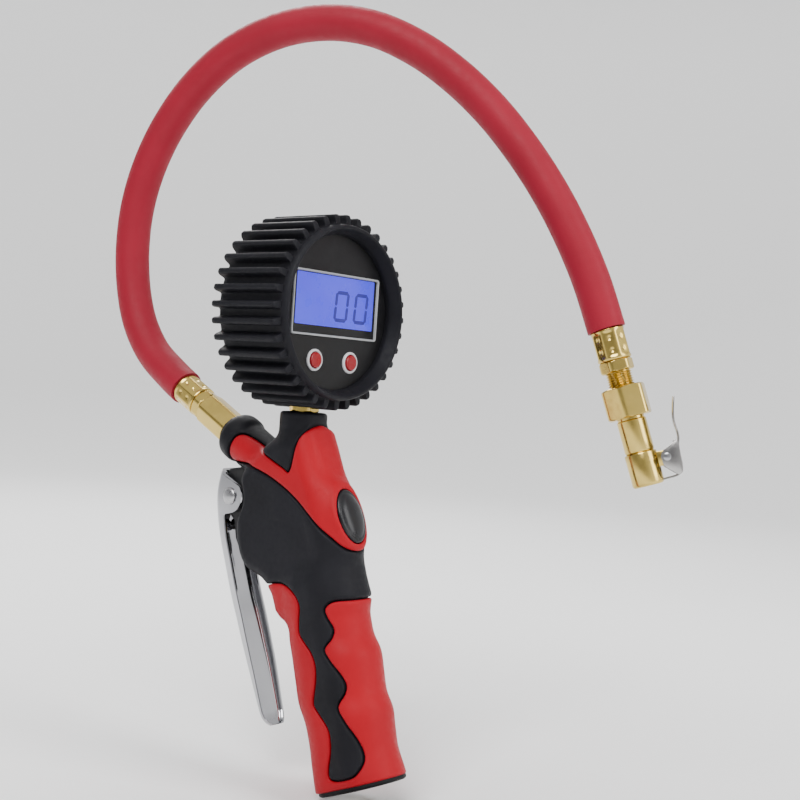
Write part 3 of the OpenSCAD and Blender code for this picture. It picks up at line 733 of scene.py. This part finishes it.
def badge_frame(x, y, z):
    """Distance to the badge's oval edge, and height over its foot."""
    dx, dz = x - BADGE_AT.x, z - BADGE_AT.z
    across = dx * math.cos(BADGE_LEAN) - dz * math.sin(BADGE_LEAN)
    out = dx * math.sin(BADGE_LEAN) + dz * math.cos(BADGE_LEAN)
    return (np.hypot(across / BADGE_LONG, y / BADGE_SHORT) - 1) * BADGE_SHORT, out


def badge_distance(x, y, z):
    """Distance to the oval pocket that holds the badge."""
    oval, out = badge_frame(x, y, z)
    return np.maximum(oval, -out - 3.0)


def make_badge():
    """A shallow oval dome: (share of the oval, height) from its foot to its crown."""
    oval = circle(1, 96) * (BADGE_LONG - 0.2, BADGE_SHORT - 0.2)
    dome = [(0.02, -2.5), (0.97, -2.5), (1.0, -2.2), (1.0, 0.5), (0.985, 0.95), (0.955, 1.25),
            (0.91, 1.42), (0.87, 1.4), (0.84, 1.5), (0.78, 1.85), (0.65, 2.3), (0.45, 2.7),
            (0.22, 2.9), (0.02, 2.95)]
    rings = [level(oval * share, z) for share, z in dome]
    piece("badge", *loft(rings), "badge", replaces=["rear_badge"], place=BADGE, crease=50)


def make_casting():
    """The casting keeps to its CAD form: air ways, and a tongue between the lever's cheeks."""
    low = np.array((-88.0, 0.0, -6.0))
    high = np.array((14.0, 12.5, 140.0))
    step = STEP * 1.2
    axes = grid_axes(low, high, step)
    x = axes[0][:, None, None] + 0 * axes[2][None, None, :]
    z = axes[2][None, None, :] + 0 * x
    y = axes[1][None, :, None]
    tongue_side = fillet([(-58, 75.5), (-58, 116), (-60, 117), (-77.5, 114), (-79, 107), (-79, 99),
                          (-72.5, 93), (-71, 86), (-67, 79.5), (-63, 75.5)], 2)
    tongue = outline_distance(x[:, 0, :], z[:, 0, :], tongue_side)[:, None, :]
    tongue = soft_max(tongue + 0 * y, y - 5.4, 1.2)
    metal = soft_min(casting_field(x, y, z), tongue, 1.0)
    grip, duct, valve, neck, port = casting_axes(x, y, z)
    for bore in ((grip, 9, -OPEN, 17.8), (duct, 3, 10, 84), (valve, 4.25, -OPEN, -59),
                 (valve, 5, -59.5, -26), (valve, 6, -26.5, OPEN), (neck, 2.5, VALVE_Z, OPEN),
                 (neck, 4.9, 127.5, OPEN), (port, 2.8, -45.7, OPEN), (port, 5.2, -13, OPEN)):
        metal = np.maximum(metal, -rod(*bore))
    metal = np.maximum(metal, GRIP_FOOT - grip[0])
    piece("casting", *skin_of(both_sides(metal), (low[0], -axes[1][-1], low[2]), step), "casting",
          replaces=["valve_body"], crease=40)


BASE_R = 13.9


def make_base_ring():
    """The black ring round the grip's foot: an oval outside with a round hole."""
    bow = polar(BASE_R, np.radians(np.linspace(-90, 90, 24)))
    outline = np.vstack([bow + (5, 0), (-3, 0) - bow])
    centre = np.array([(np.clip(p[0], -3, 5), 0) for p in outline])
    inner = 9.05 * outline / np.linalg.norm(outline, axis=1)[:, None]
    away = (outline - centre) / np.linalg.norm(outline - centre, axis=1)[:, None]
    loops = [(inner, 1.8), (inner, 0.4), (inner * 1.04, 0)]
    loops += [(outline - away * inset, z)
              for inset, z in ((1.0, 0), (0.3, 0.3), (0, 0.9), (0.1, 1.7), (0.8, 1.8))]
    rings = [level(loop, z) for loop, z in loops]
    piece("grip_base", *loft(rings, wrap=True), "black_rubber", replaces=["base_ring"], place=GRIP)


make_body()
make_badge()
make_casting()
make_base_ring()

# ---- the gauge ----

RIBS = 36
# Half of one rib's section: (distance round from its middle, share of its height).
RIB_HALF = [(0, 1), (0.55, 1), (0.9, 0.95), (1.14, 0.86), (1.27, 0.72), (1.3, 0.5), (1.32, 0.3),
            (1.42, 0.14), (1.65, 0.04), (2.0, 0)]
# Along the boot: (distance along the gauge's axis, valley radius, rib radius).
BOOT = [(-15.0, 29.5, 0), (-16.2, 29.5, 0), (-16.45, 29.7, 0), (-16.5, 30.1, 0), (-16.5, 32.0, 0),
        (-16.5, 32.5, 35.4), (-16.45, 33.0, 37.2), (-16.1, 33.5, 37.8), (-15.4, 33.8, 38.0),
        (-14, 34.0, 38.0), (-7, 34.0, 38.0), (0, 34.0, 38.0), (7, 34.0, 38.0), (14.0, 34.0, 38.0),
        (16.2, 34.1, 38.0), (16.8, 34.15, 37.8), (17.1, 34.2, 37.3), (17.2, 34.2, 36.6),
        (17.25, 34.2, 35.4), (17.3, 34.2, 0), (18.2, 34.1, 0), (19.1, 33.8, 0), (19.7, 33.4, 0),
        (19.95, 32.9, 0), (19.8, 32.4, 0), (19.3, 32.1, 0), (16.2, 30.7, 0), (15.4, 30.3, 0),
        (14.8, 30.2, 0), (13.3, 30.2, 0), (13.2, 31.9, 0), (-14.9, 31.9, 0)]


def make_boot():
    """The ribbed rubber boot. Each section is one closed loop over all the ribs and valleys."""
    offsets = [(-t, h) for t, h in RIB_HALF[:0:-1]] + RIB_HALF + [(None, 0)]
    rings = []
    for x, valley, top in BOOT:
        top = max(top, valley)
        ring = []
        for i in range(RIBS):
            for t, share in offsets:
                r = valley + share * (top - valley)
                a = 2 * math.pi * i / RIBS + (math.pi / RIBS if t is None else math.asin(t / r))
                ring.append((r * math.cos(a), r * math.sin(a), x))
        rings.append(ring)
    piece("gauge_boot_skin", *loft(rings, wrap=True), "body_rubber", replaces=["gauge_boot"],
          place=GAUGE, crease=50)


# The face plate's front, from which the display and the keys are measured.
FACE = GAUGE @ lift(13.2)
LCD_UP = 2.75
BUTTON_DROP, BUTTON_Y = 19.0, 10.2


def zero(height, width, at):
    """The display's zero as six thin slanted bars, in the display's own (right, up)."""
    t = height * 0.13
    w, h = width / 2, height / 2
    bars = [((-w, h), (w, h)), ((-w, h), (-w, 0)), ((w, h), (w, 0)),
            ((-w, 0), (-w, -h)), ((w, 0), (w, -h)), ((-w, -h), (w, -h))]
    parts = []
    for a, b in bars:
        a, b = np.array(a, float), np.array(b, float)
        along = (b - a) / np.linalg.norm(b - a)
        side = np.array([-along[1], along[0]]) * t / 2
        a, b = a + along * t * 0.45, b - along * t * 0.45
        tip = along * t / 2
        outline = np.array([a - tip * 0.8, a - side, b - side, b + tip * 0.8, b + side, a + side])
        outline[:, 0] += outline[:, 1] * 0.08
        parts.append(plate(outline + at, 0, 0.12, 0.03))
    return join(*parts)


def on_display(part):
    """From (right, up, out) as seen on the face to the gauge's local frame."""
    v = np.asarray(part[0])
    return np.stack([-v[:, 1], v[:, 0], v[:, 2]], 1), part[1]


def make_face():
    """The display with its frame, and the two keys with their rims."""
    ring = [(-1.0, -0.9), (-0.6, -0.9), (-0.6, 0.02), (0, 0.05), (0, 0.55), (-0.1, 0.75),
            (-0.3, 0.85), (-0.55, 0.8), (-0.7, 0.6), (-0.75, 0.3), (-1.0, -0.2)]
    border = moulding(rounded_box(49, 25, 1.3, (0, LCD_UP)), ring)
    mask = plate(rounded_box(47.4, 23.4, 0.8, (0, LCD_UP)), -1.0, -0.1, 0.1)
    screen = plate(rounded_box(44.6, 19.8, 0.6, (0, 4.2)), -0.75, 0.05, 0.1)
    numbers = join(*[zero(10.8, 6.6, (right, 2.6)) for right in (3.4, 14.8)])
    piece("display_frame", *on_display(border), "grey_plastic", replaces=["lcd_frame"], place=FACE)
    piece("display_mask", *on_display(mask), "face", replaces=["lcd_lens"], place=FACE)
    piece("display_screen", *on_display(screen), "display", place=FACE)
    piece("display_numbers", *on_display(numbers), "lcd_ink", place=FACE @ lift(-0.01))
    cap = [(0, -3.8), (3.08, -3.8), (3.1, 0.7), (3.04, 1.05), (2.85, 1.3), (2.5, 1.42),
           (1.8, 1.38), (0, 1.3)]
    rim = [(3.3, 0), (4.3, 0), (4.25, 0.4), (4.0, 0.7), (3.7, 0.8), (3.4, 0.68), (3.28, 0.4)]
    rims = []
    for side, name in ((-1, "left_button"), (1, "right_button")):
        at = Matrix.Translation((BUTTON_DROP, side * BUTTON_Y, 0))
        piece(name + "_cap", *lathe(cap, 48), "red_plastic", body=name, replaces=[name],
              place=FACE @ at)
        rims.append(moved(lathe(rim, 48), at))
    piece("button_rims", *join(*rims), "silver_plastic", replaces=["button_rings"], place=FACE)


def make_stem():
    """The hexagon under the gauge, with its thread in the neck and its spigot in the case."""
    upright_hex = hex_nut(11, NECK_TOP, GAUGE_Z - 32.05, 1.5)
    spigot = lathe([(1.5, GAUGE_Z - 33), (4.0, GAUGE_Z - 33), (4.0, GAUGE_Z - 27.3),
                    (3.7, GAUGE_Z - 27), (1.5, GAUGE_Z - 27)], 48)
    screw = thread(4.87, 0.5, 1.34, NECK_TOP - 11, NECK_TOP + 0.5, r_core=1.5)
    piece("gauge_stem_nut", *join(upright_hex, spigot, screw), "brass", replaces=["gauge_stem"],
          place=Matrix.Translation((STEM_X, 0, 0)), crease=28)


# ---- the lever ----

LEVER_W, LEVER_T = 14.5, 1.5
# Outer face of the lever's back in X and Z, and how deep its cheeks are at a height, both from
# the top down. Round the pin the cheeks swell to a lobe.
SPINE = [(-80.2, 113.8), (-81.1, 111.5), (-82.2, 106.5), (-82.4, 101), (-81.5, 95), (-80.4, 90),
         (-78.6, 84), (-75.2, 75), (-70.6, 63), (-66.1, 53), (-62.2, 44), (-58.2, 35),
         (-54.6, 26.5), (-51.6, 19.5)]
CHEEKS = [(114.5, 2.9), (113, 3.8), (111, 5.0), (109, 6.2), (103, 7.0), (97, 6.4), (94, 5.3),
          (84, 4.9), (75, 4.9), (60, 4.8), (46, 4.4), (36, 4.0), (27, 3.5), (19, 3.0)]
LOBE_R = 6.9
# Half its width at a height. It narrows towards the closed end.
HALF_WIDTHS = [(14, 6.1), (19, 6.2), (27, 6.6), (37, 7.05), (46, 7.25), (120, 7.25)]


def make_lever():
    """The bent sheet channel, and the rivet it turns on."""
    path = smooth_line(SPINE, 16)
    tangents = unit_tangents(path)
    table = np.array(CHEEKS)[::-1]
    rings = []

    def half_width(z):
        return float(np.interp(z, *np.array(HALF_WIDTHS).T))

    def section(at, tangent, half, depth):
        """A channel's closed section: out along one side, over the back and inside again."""
        inward = np.array([-tangent[1], tangent[0]])
        corner, t = min(2.6, half * 0.9), LEVER_T
        depth = max(depth, corner + 0.3)
        out = [(half - 0.35, depth), (half, depth - 0.35)]
        out += [(half - corner + corner * math.cos(a), corner - corner * math.sin(a))
                for a in np.radians(np.linspace(0, 90, 7))]
        back = [(0.5 * half, -0.18), (0.25 * half, -0.3)]
        inner_r = max(corner - t, 0.4)
        inside = [(half - t - inner_r + inner_r * math.cos(a), t + inner_r - inner_r * math.sin(a))
                  for a in np.radians(np.linspace(90, 0, 5))]
        inside = [(0.3 * half, t)] + inside + [(half - t, depth - 0.35), (half - t + 0.35, depth)]
        right = out + back
        left = [(-y, n) for y, n in reversed(right)]
        loop = right + [(0, -0.33)] + left + [(-y, n) for y, n in inside[::-1]] + [(0, t)] + inside
        return [(at[0] + inward[0] * n, y, at[1] + inward[1] * n) for y, n in loop]

    for at, tangent in zip(path, tangents):
        depth = np.interp(at[1], table[:, 0], table[:, 1])
        to_pin = np.array([PIVOT.x, PIVOT.z]) - at
        reach = float(to_pin @ (-tangent[1], tangent[0]))
        spare = LOBE_R ** 2 - (to_pin @ to_pin - reach ** 2)
        if spare > 0:
            depth = max(depth, reach + math.sqrt(spare))
        rings.append(section(at, tangent, half_width(at[1]), depth))
    end, tangent = path[-1], tangents[-1]
    inward = np.array([-tangent[1], tangent[0]])
    tip_length = 7.0
    for a in np.radians((12, 24, 36, 48, 58, 68, 76, 82)):
        at = end + tangent * tip_length * math.sin(a) + inward * 1.6 * (1 - math.cos(a))
        rings.append(section(at, tangent, half_width(19) * (0.4 + 0.6 * math.cos(a)),
                             3.0 - 0.2 * (1 - math.cos(a))))
    piece("lever_channel", *loft(rings), "chrome", body="lever", replaces=["lever"], crease=40)

    head = [(0, 0.95), (1.6, 0.9), (2.6, 0.7), (3.3, 0.35), (3.55, 0), (3.6, -0.5), (0, -0.5)]
    shank = lathe([(0, -7.2), (2.5, -7.2), (2.5, 7.2), (0, 7.2)], 48)
    parts = [shank]
    for side in (-1, 1):
        m = lift(side * (LEVER_W / 2 + 0.45))
        if side < 0:
            m = m @ turn(math.pi, "X")
        parts.append(moved(lathe(head, 64), m))
    piece("lever_rivet", *join(*parts), "steel", replaces=["lever_pin"],
          place=Matrix.Translation(PIVOT) @ turn(math.pi / 2, "X"), crease=50)


# ---- fittings, hose and chuck ----


def ferrule_part(length=FERRULE_LEN, radius=6.6):
    """A brass sleeve squeezed on eight sides between round ends, with its lip rolled in."""
    def shape(angles, r, z):
        off = np.abs((angles + math.pi / 8) % (math.pi / 4) - math.pi / 8)
        flat = radius * 0.945 / np.cos(off)
        squeezed = np.clip(min(z - 1.0, length - 1.0 - z) / 0.9, 0, 1)
        dents = sum(0.4 * np.exp(-((off * radius) ** 2 + (z - h) ** 2) / 0.45)
                    for h in (length * 0.3, length * 0.68))
        return np.where(r > 5.9, r + squeezed * (np.minimum(r, flat) - r) - dents, r)
    heights = [0.9, 1.3, 1.7, *np.arange(2.1, length - 1.9, 0.4), length - 1.7, length - 1.3,
               length - 0.9]
    outer = [(radius - 0.7, 0), (radius - 0.2, 0.15), (radius, 0.5)]
    outer += [(radius, h) for h in heights]
    outer += [(radius, length - 0.5), (radius - 0.2, length - 0.15), (radius - 0.6, length)]
    return lathe([(3.35, 0)] + outer + [(5.5, length), (5.45, 1.2), (3.35, 1.2)], 128, shape)


def make_fittings():
    """The three brass parts at the hose port."""
    adaptor = join(hex_nut(12.7, -3.2, ADAPTOR_LEN, 4.3),
                   thread(5.15, 0.5, 1.0, -12, 0.3, r_core=2.6))
    piece("port_nut", *adaptor, "brass", replaces=["port_adaptor"],
          place=PORT @ turn(math.radians(12), "Z"), crease=28)
    piece("port_hex", *moved(hex_nut(12, 0, FITTING_LEN, 1.9), turn(math.radians(20), "Z")),
          "brass", replaces=["port_fitting"], place=PORT @ lift(ADAPTOR_LEN), crease=28)
    piece("port_sleeve", *ferrule_part(), "brass", replaces=["port_ferrule"],
          place=PORT @ lift(ADAPTOR_LEN + FITTING_LEN), crease=40)


def make_hose():
    """The hose, and its length in metres."""
    line = bpy.data.curves.new("hose", "CURVE")
    line.dimensions = "3D"
    line.bevel_depth = HOSE_D / 2 * MM
    line.bevel_resolution = 10
    line.use_fill_caps = True
    points = smooth_line([tuple(p) for p in HOSE_ROUTE], 6) * MM
    spline = line.splines.new("POLY")
    spline.points.add(len(points) - 1)
    spline.points.foreach_set("co", np.column_stack([points, np.ones(len(points))]).ravel())
    spline.use_smooth = True
    line.materials.append(FINISH["hose_rubber"])
    hose = put("air_hose", line)
    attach(hose, "housing")
    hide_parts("hose")
    length = float(np.linalg.norm(np.diff(points, axis=0), axis=1).sum())
    return hose, length


# Stations along the chuck, from the hose's end, and its hexagon across the flats.
TAIL_END = FERRULE_LEN + FITTING_LEN
HEX_START = TAIL_END + THREAD_SHOW
HEX_END = HEX_START + 12.2
NUT_AF = 15.9
BARREL_END = HEX_END + 14
MOUTH_END = BARREL_END + 13
CLIP_PIN = (9.3, BARREL_END + 4)
SHEET_T = 0.8


def make_chuck():
    """What hangs on the hose, down to the mouth, without the clip."""
    sleeve = moved(ferrule_part(), lift(FERRULE_LEN) @ turn(math.pi, "X"))
    made = [piece("chuck_sleeve", *sleeve, "brass", replaces=["tip_ferrule"], place=CHUCK,
                  crease=40)]
    tail = join(hex_nut(12, FERRULE_LEN, TAIL_END, 1.9),
                thread(5.15, 0.7, 0.94, TAIL_END - 0.2, HEX_START + 8.5, r_core=1.9))
    made.append(piece("chuck_tail", *tail, "brass", replaces=["tip_fitting"],
                      place=CHUCK @ turn(math.radians(20), "Z"), crease=28))
    nut = moved(hex_nut(NUT_AF, HEX_START, HEX_END, 5.2, 0.55), turn(math.radians(10), "Z"))
    barrel = lathe([(2.2, -15), (5.2, -15), (5.2, -13.2), (5.45, -13.0), (5.7, -12.7),
                    (5.7, -0.9), (5.5, -0.4), (5.2, -0.05), (4.97, 0), (4.97, 1.5), (3.65, 1.5),
                    (3.65, -0.5), (2.2, -0.5)], 72)
    made.append(piece("chuck_barrel", *join(nut, moved(barrel, lift(BARREL_END))), "brass",
                      replaces=["chuck_body"], place=CHUCK, crease=28))
    nose = lathe([(5.0, 0), (5.75, 0), (6.05, 0.15), (6.2, 0.5), (6.2, 11.8), (6.0, 12.5),
                  (5.6, 12.9), (5.2, 13), (4.5, 13), (4.1, 12.5), (4.1, 3), (5.0, 3)], 72)
    ear = plate(fillet([(-10.9, 1.2), (-4.5, 1.0), (-4.5, 7), (-10.9, 6.8)], (2.6, 0, 0, 2.6)),
                -2.2, 2.2, 0.35)
    made.append(piece("chuck_mouth_piece", *join(nose, upright(ear)), "brass",
                      replaces=["chuck_nose"], place=CHUCK @ lift(BARREL_END), crease=32))
    washer = [(1.6, 1.55), (4.9, 1.55), (4.9, 2.95), (1.9, 2.95), (1.6, 2.6)]
    made.append(piece("chuck_seal", *lathe(washer, 48), "black_rubber",
                      replaces=["chuck_washer"], place=CHUCK @ lift(BARREL_END)))
    return made


def sheet_strip(profile, thickness, width_at, steps=4):
    """A bent strip of sheet along a side-view line. width_at(share) is its half width."""
    line = smooth_line(profile, steps)
    tangents = unit_tangents(line)
    rings = []
    for i, (at, tangent) in enumerate(zip(line, tangents)):
        normal = np.array([tangent[1], -tangent[0]])
        half = width_at(i / (len(line) - 1))
        e = thickness * 0.25
        ring = [(half - e, 0), (half, e), (half, thickness - e), (half - e, thickness)]
        ring += [(-y, n) for y, n in reversed(ring)]
        rings.append([(at[0] + normal[0] * n, y, at[1] + normal[1] * n) for y, n in ring])
    return loft(rings)


def arm_half_width(share):
    """Half the thumb arm's width, a little wider near its tip."""
    return 3.2 + (0.7 * math.sin(math.pi * min(share * 2.2, 1)) if share < 0.45 else 0)


def make_clip():
    """The clip of bent sheet, drawn at +X and mirrored to its side, its pin and its spring."""
    arm = sheet_strip([(17.3, 31.5), (16.3, 34.5), (15.3, 38), (14.9, 41), (15.1, 44.5),
                       (15.0, 47), (14.2, 49.6), (13.8, 53), (13.5, 57.5), (12.8, 60.0)],
                      SHEET_T, arm_half_width)
    claw = sheet_strip([(13.3, 57.5), (12.6, 59.7), (11.2, MOUTH_END - 1.7), (8, MOUTH_END - 1.55),
                        (4.8, MOUTH_END - 1.55)], SHEET_T, lambda share: 2.1)
    cheek_outline = fillet([(15, 47.6), (13.7, 60.2), (12, 61.2), (7.2, 56.4), (7.0, 52.0),
                            (8.8, 50.3)], (1.2, 1.5, 1.2, 2.2, 2.2, 2.0))
    cheeks = [upright(plate(cheek_outline, side * 4.7 - SHEET_T / 2, side * 4.7 + SHEET_T / 2,
                            0.18))
              for side in (-1, 1)]
    bridges = [upright(plate(rounded_box(1.0, 2.6, 0.3, (13.5, z)), -5.0, 5.0, 0.2))
               for z in (49.0, 57.5)]
    clip = join(arm, claw, *cheeks, *bridges)
    clip = np.asarray(clip[0]) * (-1, 1, 1), [tuple(reversed(f)) for f in clip[1]]
    made = [piece("chuck_clip_plate", *clip, "nickel", body="chuck_clip", replaces=["clip_lever"],
                  place=CHUCK, crease=35)]
    pin_at = CHUCK @ Matrix.Translation((-CLIP_PIN[0], 0, CLIP_PIN[1])) @ turn(math.pi / 2, "X")
    pin = lathe([(0, -5.9), (0.9, -5.9), (1.5, -5.7), (1.5, -5.3), (1.0, -5.2), (1.0, 5.2),
                 (1.5, 5.3), (1.5, 5.7), (0.9, 5.9), (0, 5.9)], 32)
    made.append(piece("clip_rivet", *pin, "steel", replaces=["clip_pin"], place=pin_at, crease=40))
    wires = []
    for side in (-1, 1):
        a = np.linspace(0, 2 * math.pi * 2.5, 70)
        coil = np.column_stack([1.55 * np.cos(a), 1.55 * np.sin(a),
                                side * (2.55 + 1.4 * a / a[-1])])
        wires.append(tube_along(coil, 0.3, 8))
    made.append(piece("clip_coil", *join(*wires), "steel", replaces=["clip_spring"], place=pin_at))
    return made


make_boot()
make_face()
make_stem()
make_lever()
make_fittings()
hose, hose_length = make_hose()
on_hose = make_chuck() + make_clip()
on_hose += [bpy.data.objects[n] for n in ("port_sleeve", "port_hex")]
on_hose.append(frame["nodes"]["chuck_depressor"])

# ---- what stays as the CAD made it ----

SLOT_OF = {s["node"]: s["material_slot"] for s in frame["record"]["subparts"]}
for name, node in frame["nodes"].items():
    node.data.materials.clear()
    node.data.materials.append(FINISH[SLOT_OF[name]])
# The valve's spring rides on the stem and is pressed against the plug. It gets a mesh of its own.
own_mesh(frame["nodes"]["valve_spring"])

# ---- stage ----


FLOOR_R, BEND_R, WALL_TOP = 1500, 900, 1500
PALE, GREY = (0.96, 0.96, 0.96), (0.34, 0.34, 0.35)
# The floor turns grey over these distances (metres) in this direction.
GREY_SIDE = (-0.1, -0.995, 0)
GREY_FROM = (0.4, 1.9)


def make_stage():
    """A pale floor that curves up into a wall. It is pale where the picture looks and greyer
    on one side, which gives the bright metal something to mirror."""
    floor_z = min(cad_low.z / MM, -7.0) - 0.2
    wall_r = FLOOR_R + BEND_R
    profile = [(0.001, floor_z - 5), (0.001, floor_z), (700, floor_z), (FLOOR_R, floor_z)]
    profile += [(FLOOR_R + BEND_R * math.sin(a), floor_z + BEND_R * (1 - math.cos(a)))
                for a in np.radians(np.linspace(5, 90, 18))]
    profile += [(wall_r, floor_z + WALL_TOP), (wall_r + 5, floor_z + WALL_TOP),
                (wall_r + 5, floor_z - 5)]
    verts, faces = lathe(profile, 96)
    mesh = bpy.data.meshes.new("studio_floor")
    mesh.from_pydata((verts * MM).tolist(), [], faces)
    mesh.polygons.foreach_set("use_smooth", [True] * len(mesh.polygons))
    paint = bpy.data.materials.new("studio_floor")
    paint.use_nodes = True
    tree = paint.node_tree
    shader = tree.nodes["Principled BSDF"]
    shader.inputs["Roughness"].default_value = 0.9
    shader.inputs["Specular IOR Level"].default_value = 0.1
    where = tree.nodes.new("ShaderNodeTexCoord")
    towards = tree.nodes.new("ShaderNodeVectorMath")
    towards.operation = "DOT_PRODUCT"
    towards.inputs[1].default_value = GREY_SIDE
    tree.links.new(where.outputs["Object"], towards.inputs[0])
    fade = map_range(tree, towards.outputs["Value"], GREY_FROM, (0, 1))
    tree.links.new(mix_colours(tree, fade, PALE, GREY), shader.inputs["Base Color"])
    mesh.materials.append(paint)
    put("studio_floor", mesh)


def area_light(name, at, aim, size, power):
    """A soft rectangular light. Places and sizes are in metres, power in watts."""
    light = bpy.data.lights.new(name, "AREA")
    light.shape = "RECTANGLE"
    light.size, light.size_y = size
    light.energy = power
    lamp = put(name, light)
    lamp.location = Vector(at)
    lamp.rotation_euler = (Vector(aim) - Vector(at)).to_track_quat("-Z", "Y").to_euler()


make_stage()
world = bpy.data.worlds.new("studio")
world.use_nodes = True
world.node_tree.nodes["Background"].inputs["Color"].default_value = (1, 1, 1, 1)
world.node_tree.nodes["Background"].inputs["Strength"].default_value = 0.9
bpy.context.scene.world = world
area_light("key", (0.35, -1.0, 1.25), (-0.04, 0, 0.12), (0.9, 0.9), 23)
area_light("fill", (1.25, 0.25, 0.8), (-0.04, 0, 0.12), (0.6, 1.2), 12)
area_light("rim", (-0.9, 0.5, 1.1), (-0.04, 0, 0.15), (0.7, 0.7), 14)
